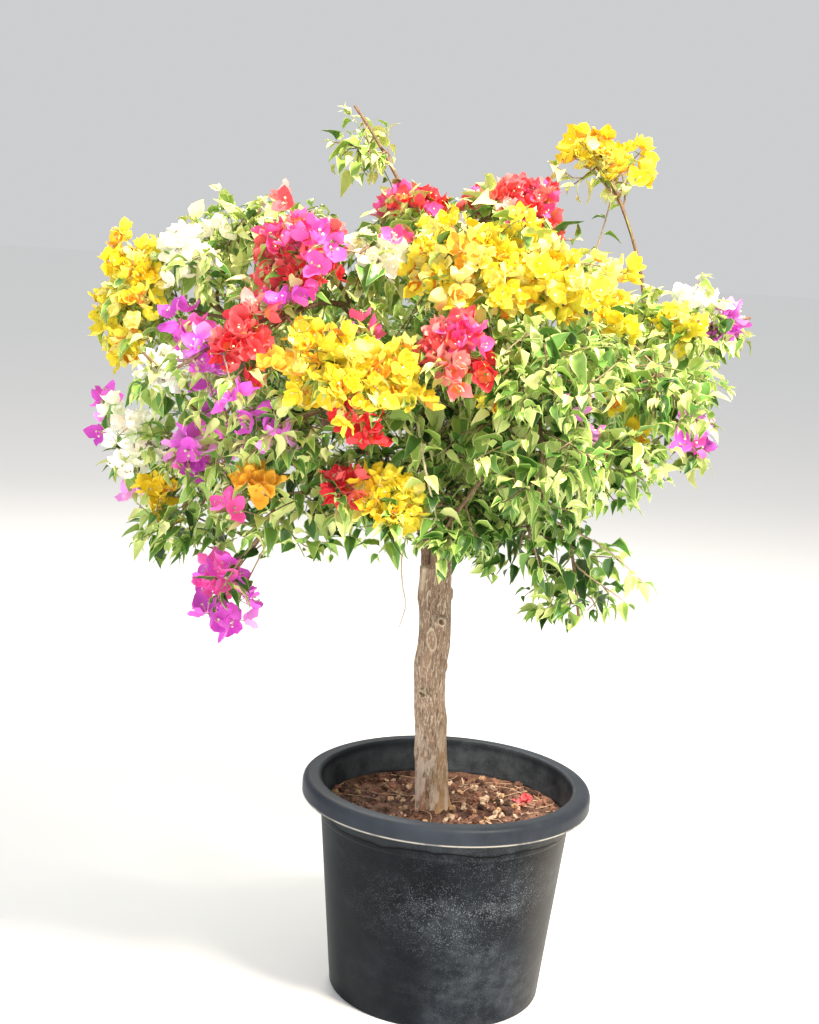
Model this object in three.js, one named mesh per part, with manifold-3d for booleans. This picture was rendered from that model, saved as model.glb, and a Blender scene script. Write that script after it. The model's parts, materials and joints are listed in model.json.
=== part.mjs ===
// A grafted bougainvillea bush in its black nursery pot: a stub trunk, boughs that fork from its head, and an
// umbrella crown of leafy masses and sprays of coloured bracts.
// Millimetres, +Z up. The origin is the centre of the pot's flat underside. The photographed side faces -Y.
import * as THREE from "three";
import { mergeVertices } from "three/addons/utils/BufferGeometryUtils.js";
import Module from "manifold-3d";

const wasm = await Module();
wasm.setup();

// The gap left between neighbouring solids
const CLEAR = 0.3;

// Driving dimensions of the pot: its outside widens by draft for each millimetre of height
const POT = {
  height: 340,
  footRadius: 166,
  draft: 0.1,
  wall: 3.5,
  floor: 5,
  footRound: 4,
  lipRadius: 225,
  lipDrop: 28,
  lipRound: 9,
  lipHollow: 16,
  collarDrop: 62,
  collarProud: 1.6,
  facets: 44,
};
const DRAIN = { count: 8, radius: 9, ring: 125, facets: 6 };
const SOIL = { level: 285, mound: 2.4, rings: 4, flatRadius: 46, levelRadius: 86, waves: 5, seed: 7 };

// Driving dimensions of the trunk, from its flat cut on the soil to its flat head
const TRUNK = {
  foot: [-20, -2],
  head: [-40, 0],
  height: 398,
  girth: 24.5,
  flare: 3.2,
  flareLength: 25,
  swell: 0.9,
  fluting: 0.5,
  sides: 14,
  rings: 14,
  seed: 11,
};
// Lumps on the trunk where side shoots were cut. angle is round the trunk, up is the height over the soil.
const KNOTS = [
  { up: 212, angle: 235, reach: 14, proud: 3.4 },
  { up: 340, angle: 305, reach: 12, proud: 3.8 },
  { up: 132, angle: 80, reach: 16, proud: 2.6 },
];

// Places in the crown: bearing is 0 at the photograph's right, 90 at its back and 270 at its front. Reach is
// from the crown's axis, and height is over the soil.
const CROWN_AXIS = [-40, 0];

// The leaders that rise from the trunk's head, and the limbs that fork from each
const LEADER = { sides: 7, steps: 4, fork: 14.6, arch: 10 };
const LEADERS = [
  { name: "leader_left", bearing: 195, reach: 105, height: 560, radius: 9, tip: 6.4 },
  { name: "leader_front", bearing: 268, reach: 95, height: 545, radius: 8.5, tip: 6.2 },
  { name: "leader_right", bearing: 345, reach: 90, height: 585, radius: 10, tip: 6.8 },
  { name: "leader_back", bearing: 95, reach: 100, height: 565, radius: 9, tip: 6.4 },
];
const LIMB = { radius: 5.2, tip: 4.6, sides: 5, steps: 4 };
const LIMBS = [
  { name: "limb_far_left", from: "leader_left", bearing: 186, reach: 330, height: 755, arch: 60 },
  { name: "limb_low_left", from: "leader_left", bearing: 204, reach: 300, height: 600, arch: 50 },
  { name: "limb_upper_left", from: "leader_left", bearing: 226, reach: 200, height: 770, arch: 40 },
  { name: "limb_front_low", from: "leader_front", bearing: 243, reach: 225, height: 600, arch: 45 },
  { name: "limb_front", from: "leader_front", bearing: 258, reach: 265, height: 690, arch: 50 },
  { name: "limb_front_right", from: "leader_front", bearing: 292, reach: 255, height: 690, arch: 50 },
  { name: "limb_low_right", from: "leader_right", bearing: 318, reach: 215, height: 590, arch: 60 },
  { name: "limb_right", from: "leader_right", bearing: 350, reach: 240, height: 740, arch: 45 },
  { name: "limb_top", from: "leader_right", bearing: 270, reach: 60, height: 835, arch: 10 },
  { name: "limb_back_right", from: "leader_back", bearing: 38, reach: 265, height: 700, arch: 50 },
  { name: "limb_back", from: "leader_back", bearing: 92, reach: 270, height: 710, arch: 55 },
  { name: "limb_back_left", from: "leader_back", bearing: 142, reach: 280, height: 700, arch: 50 },
];

// Leafy masses and sprays of bracts: name, limb, bearing, reach, height, and the half extents of its room.
const MASSES = [
  ["yellow_far_left", "limb_far_left", 187, 470, 765, [72, 84, 100]],
  ["white_high_left", "limb_far_left", 194, 390, 842, [62, 70, 62]],
  ["leaves_left_shoulder", "limb_far_left", 182, 300, 880, [100, 85, 60]],
  ["magenta_left", "limb_upper_left", 224, 440, 715, [65, 65, 85]],
  ["white_mid_left", "limb_low_left", 210, 445, 690, [60, 65, 60]],
  ["white_low_left", "limb_low_left", 195, 450, 570, [66, 70, 75]],
  ["magenta_low_left", "limb_low_left", 213, 415, 575, [58, 60, 58]],
  ["leaves_low_left", "limb_low_left", 205, 370, 475, [105, 85, 62]],
  ["magenta_hanging", "limb_front_low", 216, 355, 385, [58, 58, 70]],
  ["red_left", "limb_upper_left", 232, 430, 735, [52, 55, 72]],
  ["red_upper_left", "limb_upper_left", 229, 325, 850, [86, 86, 84]],
  ["leaves_front_low_left", "limb_front_low", 234, 320, 525, [100, 75, 65]],
  ["red_low", "limb_front_low", 249, 345, 560, [54, 56, 54]],
  ["yellow_low", "limb_front_low", 260, 335, 545, [62, 62, 66]],
  ["leaves_front", "limb_front", 240, 375, 640, [95, 72, 62]],
  ["yellow_centre", "limb_front", 254, 395, 712, [112, 72, 66]],
  ["red_centre", "limb_front", 271, 375, 750, [52, 52, 72]],
  ["leaves_hanging_front", "limb_front_right", 273, 335, 530, [56, 56, 125]],
  ["leaves_front_right", "limb_front_right", 290, 355, 725, [100, 80, 70]],
  ["leaves_right_middle", "limb_front_right", 291, 345, 612, [98, 78, 70]],
  ["yellow_main", "limb_top", 284, 265, 845, [140, 100, 78]],
  ["white_upper", "limb_top", 248, 275, 862, [70, 75, 60]],
  ["red_top_left", "limb_top", 225, 90, 930, [80, 70, 52]],
  ["red_top", "limb_top", 320, 105, 930, [85, 75, 66]],
  ["leaves_tall_shoot", "limb_top", 200, 150, 1040, [48, 50, 80]],
  ["yellow_top_shoot", "limb_right", 347, 195, 1010, [70, 52, 46]],
  ["yellow_right", "limb_right", 339, 340, 785, [74, 66, 58]],
  ["magenta_right", "limb_right", 355, 395, 790, [60, 62, 66]],
  ["leaves_right", "limb_right", 322, 350, 715, [90, 80, 66]],
  ["leaves_low_right", "limb_low_right", 310, 340, 620, [85, 72, 62]],
  ["leaves_under_right", "limb_low_right", 300, 240, 500, [100, 80, 62]],
  ["leaves_hanging_right", "limb_low_right", 318, 270, 415, [70, 66, 70]],
  ["leaves_back_right", "limb_back_right", 25, 340, 690, [110, 105, 90]],
  ["yellow_back_right", "limb_back_right", 48, 375, 770, [75, 75, 70]],
  ["magenta_back_right", "limb_back_right", 20, 395, 600, [70, 70, 62]],
  ["leaves_back", "limb_back", 86, 320, 715, [130, 120, 92]],
  ["red_back", "limb_back", 102, 215, 860, [100, 100, 70]],
  ["leaves_back_low", "limb_back", 70, 330, 540, [110, 80, 66]],
  ["leaves_back_left", "limb_back_left", 148, 370, 680, [110, 100, 90]],
  ["white_back_left", "limb_back_left", 130, 370, 790, [75, 75, 66]],
  ["magenta_back_left", "limb_back_left", 160, 380, 545, [75, 75, 68]],
].map(([name, from, bearing, reach, height, size]) => ({ name, from, bearing, reach, height, size }));

// A keeled leaf, a bloom of three bracts, and the twigs. A leaf or bloom stands for a spray, larger than life.
const LEAF = { length: 90, width: 58, broadest: 0.42, keel: 4, droop: 9 };
const BLOOM = { radius: 50, notch: 25, cup: 15, notchCup: 5, heart: 5, thickness: 1.4, offset: 4 };
const TWIG = { stem: 3.1, stemTip: 2.8, foot: 1.1, tip: 1, sunk: 0.4, sides: 3 };

// How a mass grows. twigs is the number on a mass whose mean half extent is girth.
const GROWTH = {
  twigs: 5.6,
  girth: 75,
  leaves: 3,
  leafStep: 22,
  golden: 137.5,
  entry: 0.45,
  last: 0.97,
  overhang: 1.35,
  shortOfEdge: 26,
  shortest: 14,
  longest: 400,
  tries: 20,
  shrink: 0.45,
  stemSteps: 3,
  stemArch: 0.1,
  stemReach: 0.75,
};
const SLIVER = 0.1;

// The photographed colours, as the slot's sRGB colour and roughness
const FINISHES = {
  black_plastic: [0x2b2d31, 0.55],
  soil: [0x6e4636, 0.95],
  bark: [0x8a6f57, 0.9],
  leaf: [0x6fae45, 0.6],
  bract_yellow: [0xf7d21e, 0.65],
  bract_red: [0xe8384a, 0.65],
  bract_magenta: [0xcf3fd0, 0.65],
  bract_white: [0xf6f4ea, 0.65],
};

const up = new THREE.Vector3(0, 0, 1);
const turn = THREE.MathUtils.degToRad;
const mix = THREE.MathUtils.lerp;

// A seeded stream of numbers from 0 to 1, so that the plant grows the same each time.
function dice(seed) {
  let state = seed >>> 0;
  return () => {
    state = (state + 0x6d2b79f5) >>> 0;
    let t = Math.imul(state ^ (state >>> 15), state | 1);
    t ^= t + Math.imul(t ^ (t >>> 7), t | 61);
    return ((t ^ (t >>> 14)) >>> 0) / 4294967296;
  };
}

// A vector with each of its parts between plus and minus half.
function wobble(roll) {
  return new THREE.Vector3(roll() - 0.5, roll() - 0.5, roll() - 0.5);
}

// A point of the crown from its bearing, its reach from the crown's axis and its height over the soil.
function place({ bearing, reach, height }) {
  return new THREE.Vector3(
    CROWN_AXIS[0] + reach * Math.cos(turn(bearing)),
    CROWN_AXIS[1] + reach * Math.sin(turn(bearing)),
    SOIL.level + height,
  );
}

// A closed geometry as a solid, with only its positions kept.
function solidOf(geometry) {
  const bare = geometry.clone();
  for (const name of Object.keys(bare.attributes)) {
    if (name !== "position") bare.deleteAttribute(name);
  }
  const merged = mergeVertices(bare, 1e-4);
  return new wasm.Manifold(
    new wasm.Mesh({
      numProp: 3,
      vertProperties: merged.attributes.position.array,
      triVerts: new Uint32Array(merged.index.array),
    }),
  );
}

// A solid as a geometry.
function geometryOf(solid) {
  const mesh = solid.getMesh();
  const geometry = new THREE.BufferGeometry();
  geometry.setAttribute("position", new THREE.BufferAttribute(new Float32Array(mesh.vertProperties), 3));
  geometry.setIndex(new THREE.BufferAttribute(new Uint32Array(mesh.triVerts), 1));
  return geometry;
}

// All solids of a list joined into one, pair by pair.
function joined(solids) {
  let row = solids;
  while (row.length > 1) {
    const next = [];
    for (let i = 0; i < row.length; i += 2) {
      next.push(i + 1 < row.length ? row[i].add(row[i + 1]) : row[i]);
    }
    row = next;
  }
  return row[0];
}

// The largest body of a solid, which leaves loose scraps behind.
function largest(solid) {
  return solid.decompose().reduce((best, body) => (body.volume() > best.volume() ? body : best));
}

// A closed tube along a curve, whose radius is given by radiusAt(t, angle).
function tube(curve, radiusAt, sides, steps) {
  const geometry = new THREE.CylinderGeometry(1, 1, 1, sides, steps).toNonIndexed();
  const frames = curve.computeFrenetFrames(steps, false);
  const position = geometry.attributes.position;
  for (let i = 0; i < position.count; i++) {
    const [x, y, z] = [position.getX(i), position.getY(i), position.getZ(i)];
    const step = Math.round((y + 0.5) * steps);
    const angle = Math.atan2(z, x);
    const onAxis = Math.hypot(x, z) < 0.5;
    const radius = onAxis ? 0 : radiusAt(step / steps, angle);
    const spot = curve.getPointAt(step / steps);
    spot.addScaledVector(frames.normals[step], radius * Math.cos(angle));
    spot.addScaledVector(frames.binormals[step], -radius * Math.sin(angle));
    position.setXYZ(i, spot.x, spot.y, spot.z);
  }
  return geometry;
}

// A curve that leaves its foot along a direction and bends over to its tip, which it nears from arch above.
function arching(foot, along, tip, arch) {
  const length = foot.distanceTo(tip);
  const first = foot.clone().addScaledVector(along, length * 0.3);
  const second = first.clone().lerp(tip, 0.5).addScaledVector(up, arch);
  return new THREE.CubicBezierCurve3(foot, first, second, tip);
}

// The feet of the branches that fork from a tip. They stand in a ring before its end face, each as near as can
// be to the side of its own target, and far enough out to clear one another.
function fork(parent, targets, radius) {
  const tip = parent.curve.getPointAt(1);
  const along = parent.curve.getTangentAt(1);
  const out = targets.length > 1 ? (radius + CLEAR) / Math.sin(Math.PI / targets.length) : 0;
  const side = new THREE.Vector3().crossVectors(along, up).normalize();
  const rise = new THREE.Vector3().crossVectors(side, along);
  const angles = targets.map((target) => {
    const way = target.clone().sub(tip);
    return Math.atan2(way.dot(rise), way.dot(side));
  });
  const order = angles.map((_, i) => i).sort((a, b) => angles[a] - angles[b]);
  const step = (2 * Math.PI) / targets.length;
  const sine = order.reduce((sum, index, rank) => sum + Math.sin(angles[index] - rank * step), 0);
  const cosine = order.reduce((sum, index, rank) => sum + Math.cos(angles[index] - rank * step), 0);
  const first = Math.atan2(sine, cosine);
  const feet = [];
  order.forEach((index, rank) => {
    const angle = first + rank * step;
    const foot = tip.clone().addScaledVector(along, CLEAR);
    foot.addScaledVector(side, out * Math.cos(angle)).addScaledVector(rise, out * Math.sin(angle));
    feet[index] = foot;
  });
  return feet;
}

// The pot: a turned wall with a rolled lip that is hollow beneath, a collar under it, and drain holes.
function makePot() {
  const { height, wall, floor, footRound, lipRadius, lipRound, collarProud } = POT;
  const outer = (z) => POT.footRadius + POT.draft * z;
  const inner = (z) => outer(z) - wall;
  const lipFoot = height - POT.lipDrop;
  const collarFoot = height - POT.collarDrop;
  const hollowTop = lipFoot + POT.lipHollow;
  const outline = new THREE.Path();
  outline.moveTo(0, 0);
  outline.lineTo(outer(0) - footRound, 0);
  outline.quadraticCurveTo(outer(0), 0, outer(footRound), footRound);
  outline.lineTo(outer(collarFoot), collarFoot);
  outline.lineTo(outer(collarFoot) + collarProud, collarFoot + 2 * collarProud);
  outline.lineTo(outer(hollowTop) + collarProud, hollowTop - collarProud);
  outline.lineTo(lipRadius - wall, hollowTop);
  outline.lineTo(lipRadius - wall, lipFoot);
  outline.lineTo(lipRadius, lipFoot);
  outline.lineTo(lipRadius, height - lipRound);
  outline.quadraticCurveTo(lipRadius, height, lipRadius - lipRound, height);
  outline.lineTo(inner(height) + lipRound / 2, height);
  outline.quadraticCurveTo(inner(height), height, inner(height - lipRound), height - lipRound);
  outline.lineTo(inner(floor), floor);
  outline.lineTo(0, floor);
  const points = outline.getPoints(2);
  const profile = points.filter((point, i) => i === 0 || point.distanceTo(points[i - 1]) > 0.05);
  const wallSolid = solidOf(new THREE.LatheGeometry(profile, POT.facets).rotateX(Math.PI / 2));
  const drains = Array.from({ length: DRAIN.count }, (_, i) => {
    const angle = (2 * Math.PI * (i + 0.5)) / DRAIN.count;
    const drill = new THREE.CylinderGeometry(DRAIN.radius, DRAIN.radius, 4 * floor, DRAIN.facets);
    drill.rotateX(Math.PI / 2);
    return solidOf(drill.translate(DRAIN.ring * Math.cos(angle), DRAIN.ring * Math.sin(angle), 0));
  });
  return geometryOf(drains.reduce((pot, drain) => pot.subtract(drain), wallSolid));
}

// The soil: it fills the pot to its level, with an uneven top that is flat under the trunk's foot.
function makeSoil() {
  const { level, mound, rings, flatRadius, levelRadius, waves, seed } = SOIL;
  const roll = dice(seed);
  const edge = (z) => POT.footRadius + POT.draft * z - POT.wall - CLEAR;
  const floor = POT.floor + CLEAR;
  const profile = [new THREE.Vector2(0, floor), new THREE.Vector2(edge(floor), floor)];
  for (let i = 0; i < rings; i++) profile.push(new THREE.Vector2(mix(edge(level), 0, i / rings), level));
  profile.push(new THREE.Vector2(0, level));
  const geometry = new THREE.LatheGeometry(profile, POT.facets).rotateX(Math.PI / 2);
  const position = geometry.attributes.position;
  const swells = Array.from({ length: waves }, () => {
    return [turn(360 * roll()), mix(0.012, 0.042, roll()), turn(360 * roll())];
  });
  for (let i = 0; i < position.count; i++) {
    if (Math.abs(position.getZ(i) - level) > 1e-3) continue;
    const [x, y] = [position.getX(i), position.getY(i)];
    const fromTrunk = Math.hypot(x - TRUNK.foot[0], y - TRUNK.foot[1]);
    const share = THREE.MathUtils.smoothstep(fromTrunk, flatRadius, levelRadius);
    const atWall = Math.hypot(x, y) > edge(level) - 1 ? 0 : 1;
    const height = swells.reduce((sum, [way, pace, shift]) => {
      return sum + Math.sin((x * Math.cos(way) + y * Math.sin(way)) * pace + shift);
    }, 0);
    position.setZ(i, level + atWall * share * mound * height);
  }
  return geometry;
}

// The trunk: a stub with a slight kink, a flared foot and lumps where shoots were cut. Its ends are level.
function makeTrunk() {
  const { height, girth, flare, flareLength, swell, fluting, sides, rings, seed } = TRUNK;
  const low = SOIL.level + CLEAR;
  const foot = new THREE.Vector3(...TRUNK.foot, low);
  const head = new THREE.Vector3(...TRUNK.head, SOIL.level + height + 4);
  const at = (t, x, y) => foot.clone().lerp(head, t).add(new THREE.Vector3(x, y, 0));
  const curve = new THREE.CatmullRomCurve3([foot, at(0.3, -3, 1), at(0.55, -6, 0), at(0.72, -1, -1), head]);
  const roll = dice(seed);
  const lobes = Array.from({ length: 4 }, (_, i) => [i + 2, turn(360 * roll()), 6 + 9 * roll()]);
  const radiusAt = (t, angle) => {
    const rise = t * height;
    let radius = girth + flare * Math.exp(-rise / flareLength) + swell * Math.sin(t * 9 + 1);
    for (const [count, shift, pace] of lobes) {
      radius += fluting * Math.sin(count * angle + shift + pace * t);
    }
    for (const knot of KNOTS) {
      const off = angle - turn(knot.angle);
      const away = girth * Math.atan2(Math.sin(off), Math.cos(off));
      radius += knot.proud * Math.exp(-(((rise - knot.up) / knot.reach) ** 2) - (away / knot.reach) ** 2);
    }
    return radius;
  };
  const room = new THREE.BoxGeometry(400, 400, height - CLEAR).translate(0, 0, low + (height - CLEAR) / 2);
  return geometryOf(solidOf(tube(curve, radiusAt, sides, rings)).intersect(solidOf(room)));
}

// Every leader and limb with its curve, from the trunk's head or its leader's tip to its own tip.
function layOutLimbs() {
  const laid = new Map();
  for (const leader of LEADERS) {
    const foot = new THREE.Vector3(
      TRUNK.head[0] + LEADER.fork * Math.cos(turn(leader.bearing)),
      TRUNK.head[1] + LEADER.fork * Math.sin(turn(leader.bearing)),
      SOIL.level + TRUNK.height + CLEAR,
    );
    const curve = arching(foot, up, place(leader), LEADER.arch);
    laid.set(leader.name, { ...leader, curve, sides: LEADER.sides, steps: LEADER.steps });
    const children = LIMBS.filter((limb) => limb.from === leader.name);
    fork({ curve }, children.map(place), LIMB.radius).forEach((start, i) => {
      const limb = children[i];
      const bend = arching(start, curve.getTangentAt(1), place(limb), limb.arch);
      laid.set(limb.name, { ...LIMB, ...limb, curve: bend });
    });
  }
  return laid;
}

function limbGeometry(limb, extra = 0) {
  return tube(limb.curve, (t) => mix(limb.radius, limb.tip, t) + extra, limb.sides, limb.steps);
}

// Every mass's stem, from its limb's tip to the far side of the mass.
function layOutStems(limbs) {
  const stems = new Map();
  for (const limb of LIMBS) {
    const parent = limbs.get(limb.name);
    const own = MASSES.filter((mass) => mass.from === limb.name);
    fork(parent, own.map(place), TWIG.stem).forEach((foot, i) => {
      const mass = own[i];
      const centre = place(mass);
      const way = centre.clone().sub(foot).normalize();
      const tip = centre.clone().addScaledVector(way, Math.min(...mass.size) * GROWTH.stemReach);
      const arch = foot.distanceTo(centre) * GROWTH.stemArch;
      stems.set(mass.name, arching(foot, parent.curve.getTangentAt(1), tip, arch));
    });
  }
  return stems;
}

function stemGeometry(curve, extra = 0) {
  return tube(curve, (t) => mix(TWIG.stem, TWIG.stemTip, t) + extra, TWIG.sides, GROWTH.stemSteps);
}

// How far a mass's ellipsoid reaches from its centre along a unit way.
function reachAlong({ size }, way) {
  return 1 / Math.hypot(way.x / size[0], way.y / size[1], way.z / size[2]);
}

// The room of one mass: its own ellipsoid, on its own side of the plane between it and each other mass.
function roomOf(mass) {
  const centre = place(mass);
  const walls = MASSES.filter((other) => other !== mass).map((other) => {
    const way = place(other).sub(centre);
    const gap = way.length();
    way.normalize();
    const own = reachAlong(mass, way);
    return { way, share: (gap * own) / (own + reachAlong(other, way)) - CLEAR };
  });
  const away = new THREE.Vector3();
  const holds = (point) => {
    away.copy(point).sub(centre);
    const oval = Math.hypot(away.x / mass.size[0], away.y / mass.size[1], away.z / mass.size[2]);
    return oval < GROWTH.overhang && walls.every(({ way, share }) => away.dot(way) < share);
  };
  // How far a point can go along a way before it leaves the room.
  const runFrom = (start, way) => {
    let far = 0;
    while (far < GROWTH.longest && holds(start.clone().addScaledVector(way, far + 2))) far += 2;
    return far;
  };
  return { centre, holds, runFrom };
}

// A leaf: a keeled blade of four faces, whose two sides lie above the line from its root to its drip tip.
function leafGeometry(root, along, face, scale) {
  const side = new THREE.Vector3().crossVectors(face, along).normalize();
  const normal = new THREE.Vector3().crossVectors(along, side);
  const edge = (sign) => {
    const corner = root.clone().addScaledVector(along, scale * LEAF.length * LEAF.broadest);
    corner.addScaledVector(side, (sign * scale * LEAF.width) / 2);
    return corner.addScaledVector(normal, scale * LEAF.keel);
  };
  const left = edge(1);
  const right = edge(-1);
  const tip = root.clone().addScaledVector(along, scale * LEAF.length);
  tip.addScaledVector(normal, -scale * LEAF.droop);
  const corners = [root, right, left, left, right, tip, root, left, tip, right, root, tip];
  return new THREE.BufferGeometry().setFromPoints(corners);
}

// A bloom: three bracts fused round one heart, as a six-sided double cone with every second corner drawn in.
// Its root is set off the heart, so that the twig's end sinks into one side of it.
function bloomGeometry(root, face, spin, scale) {
  const outline = [[0, -BLOOM.heart], [1, 0], [0, BLOOM.thickness]];
  const geometry = new THREE.LatheGeometry(outline.map(([r, h]) => new THREE.Vector2(r, h)), 6);
  const side = new THREE.Vector3(face.y, -face.x, 0.001).cross(face).normalize();
  const rise = new THREE.Vector3().crossVectors(face, side);
  const position = geometry.attributes.position;
  for (let i = 0; i < position.count; i++) {
    const [x, y, z] = [position.getX(i), position.getY(i), position.getZ(i)];
    const onEdge = Math.hypot(x, z) > 0.5;
    const angle = Math.atan2(z, x);
    const isBract = Math.round((angle * 3) / Math.PI) % 2 === 0;
    const radius = onEdge ? scale * (isBract ? BLOOM.radius : BLOOM.notch) : 0;
    const lift = onEdge ? scale * (isBract ? BLOOM.cup : BLOOM.notchCup) : y;
    const spot = root.clone();
    spot.addScaledVector(side, radius * Math.cos(angle + spin) + BLOOM.offset);
    spot.addScaledVector(rise, -radius * Math.sin(angle + spin));
    spot.addScaledVector(face, lift + BLOOM.heart / 2);
    position.setXYZ(i, spot.x, spot.y, spot.z);
  }
  return geometry;
}

// A twig: a three-sided spike from its sunk foot to its tip.
function twigGeometry(foot, tip) {
  return tube(new THREE.LineCurve3(foot, tip), (t) => mix(TWIG.foot, TWIG.tip, t), TWIG.sides, 1);
}

// One grown piece: its solid, its box and its corners.
function pieceOf(geometry) {
  const position = geometry.attributes.position;
  const corners = [];
  for (let i = 0; i < position.count; i++) corners.push(new THREE.Vector3().fromBufferAttribute(position, i));
  return { corners, box: new THREE.Box3().setFromPoints(corners), solid: solidOf(geometry) };
}

function crosses(piece, other) {
  return piece.box.intersectsBox(other.box) && piece.solid.intersect(other.solid).volume() > 0;
}

// One of a number of directions spread evenly all round, by the golden angle.
function spread(index, count, shift) {
  const z = 1 - (2 * (index + 0.5)) / count;
  const angle = turn(GROWTH.golden) * index + shift;
  const ring = Math.sqrt(1 - z * z);
  return new THREE.Vector3(ring * Math.cos(angle), ring * Math.sin(angle), z);
}

// A mass: twigs that fan out from its stem, with leaves or bracts along them and a leaf or bloom at each end.
// A piece that would leave the room or touch a neighbour is tried again, smaller and turned, then skipped.
function growMass(mass, seed, stemCurve, obstacles) {
  const roll = dice(seed);
  const room = roomOf(mass);
  const stem = pieceOf(stemGeometry(stemCurve));
  const kept = [stem];
  const girth = (mass.size[0] + mass.size[1] + mass.size[2]) / 3;
  const fullness = THREE.MathUtils.clamp(girth / GROWTH.girth, 0.75, 1.05);
  const flowering = !mass.name.startsWith("leaves");
  const shift = turn(360 * roll());

  const fits = (piece, parent) =>
    piece.corners.every(room.holds) &&
    !obstacles.some((other) => crosses(piece, other)) &&
    !kept.some((other) => other !== parent && crosses(piece, other));

  const attempt = (parent, make) => {
    for (let go = 0; go < GROWTH.tries; go++) {
      const piece = pieceOf(make(fullness * (1 - (GROWTH.shrink * go) / GROWTH.tries)));
      if (fits(piece, parent)) {
        kept.push(piece);
        return piece;
      }
    }
    return null;
  };

  const bloomAt = (root, way, outward, scale) => {
    const face = outward.clone().lerp(way, 0.6).addScaledVector(up, 0.2).addScaledVector(wobble(roll), 0.8);
    return bloomGeometry(root, face.normalize(), turn(360 * roll()), scale);
  };

  const leafAt = (root, way, outward, isEnd, scale) => {
    const face = outward.clone().addScaledVector(up, 0.9).normalize();
    const hand = roll() < 0.5 ? -1 : 1;
    const angle = isEnd ? turn(17) * roll() : mix(turn(35), turn(125), roll());
    const blade = way.clone().applyAxisAngle(face, hand * angle).addScaledVector(up, -0.5 * roll());
    return leafGeometry(root, blade.normalize(), face, scale);
  };

  const dress = (twig, root, way, isEnd) => {
    const outward = root.clone().sub(room.centre).normalize();
    const isBloom = flowering && isEnd;
    return attempt(twig, (scale) => {
      return isBloom ? bloomAt(root, way, outward, scale) : leafAt(root, way, outward, isEnd, scale);
    });
  };

  const count = Math.round(GROWTH.twigs * (girth / GROWTH.girth) ** 1.5);
  for (let k = 0; k < count; k++) {
    const root = stemCurve.getPointAt(mix(GROWTH.entry, GROWTH.last, (k + 0.5) / count));
    const aim = spread(k, count, shift).multiply(new THREE.Vector3(...mass.size));
    const way = room.centre.clone().add(aim).sub(root).normalize();
    const foot = root.addScaledVector(way, TWIG.sunk);
    const length = room.runFrom(foot, way) - GROWTH.shortOfEdge;
    if (length < GROWTH.shortest) continue;
    const tip = foot.clone().addScaledVector(way, length);
    const twig = attempt(stem, () => twigGeometry(foot, tip));
    if (!twig) continue;
    const before = kept.length;
    dress(twig, tip.clone().addScaledVector(way, -TWIG.foot), way, true);
    const along = THREE.MathUtils.clamp(Math.round(length / GROWTH.leafStep), 1, GROWTH.leaves);
    for (let j = 0; j < along; j++) {
      dress(twig, foot.clone().lerp(tip, (j + 0.6) / (along + 0.3)), way, false);
    }
    if (kept.length === before) kept.pop();
  }
  return largest(joined(kept.map((piece) => piece.solid)).simplify(SLIVER));
}

// The material slot of a mass, from the first word of its name.
function slotOf(name) {
  const word = name.split("_")[0];
  return word === "leaves" ? "leaf" : "bract_" + word;
}

function meshOf(name, geometry, slot) {
  const [color, roughness] = FINISHES[slot];
  const material = new THREE.MeshStandardMaterial({ name: slot, color, roughness, metalness: 0 });
  const mesh = new THREE.Mesh(geometry, material);
  mesh.name = name;
  return mesh;
}

const plant = new THREE.Group();
plant.name = "potted_bush";
plant.add(meshOf("pot", makePot(), "black_plastic"));
plant.add(meshOf("soil", makeSoil(), "soil"));
plant.add(meshOf("trunk", makeTrunk(), "bark"));

const limbs = layOutLimbs();
for (const limb of limbs.values()) plant.add(meshOf(limb.name, limbGeometry(limb), "bark"));

// Limbs and other masses' stems, thickened by the gap that a mass keeps from them
const stems = layOutStems(limbs);
const limbObstacles = [...limbs.values()].map((limb) => pieceOf(limbGeometry(limb, 2 * CLEAR)));
const stemObstacles = [...stems].map(([name, curve]) => {
  return { name, piece: pieceOf(stemGeometry(curve, 2 * CLEAR)) };
});
MASSES.forEach((mass, index) => {
  const others = stemObstacles.filter(({ name }) => name !== mass.name).map(({ piece }) => piece);
  const solid = growMass(mass, 1000 + 77 * index, stems.get(mass.name), [...limbObstacles, ...others]);
  plant.add(meshOf(mass.name, geometryOf(solid), slotOf(mass.name)));
});

export default plant;
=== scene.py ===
"""The looks of a potted bush whose crown carries bracts of several colours.

Sizes are in millimetres in the frame's own axes: +Z is up, -Y faces the viewer and +X is to the right. Meshes are
scaled to metres when they are made.
"""

import json
import logging
import math
from collections.abc import Callable, Iterable, Mapping, Sequence
from dataclasses import dataclass, field, replace
from enum import Enum, IntEnum

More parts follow.
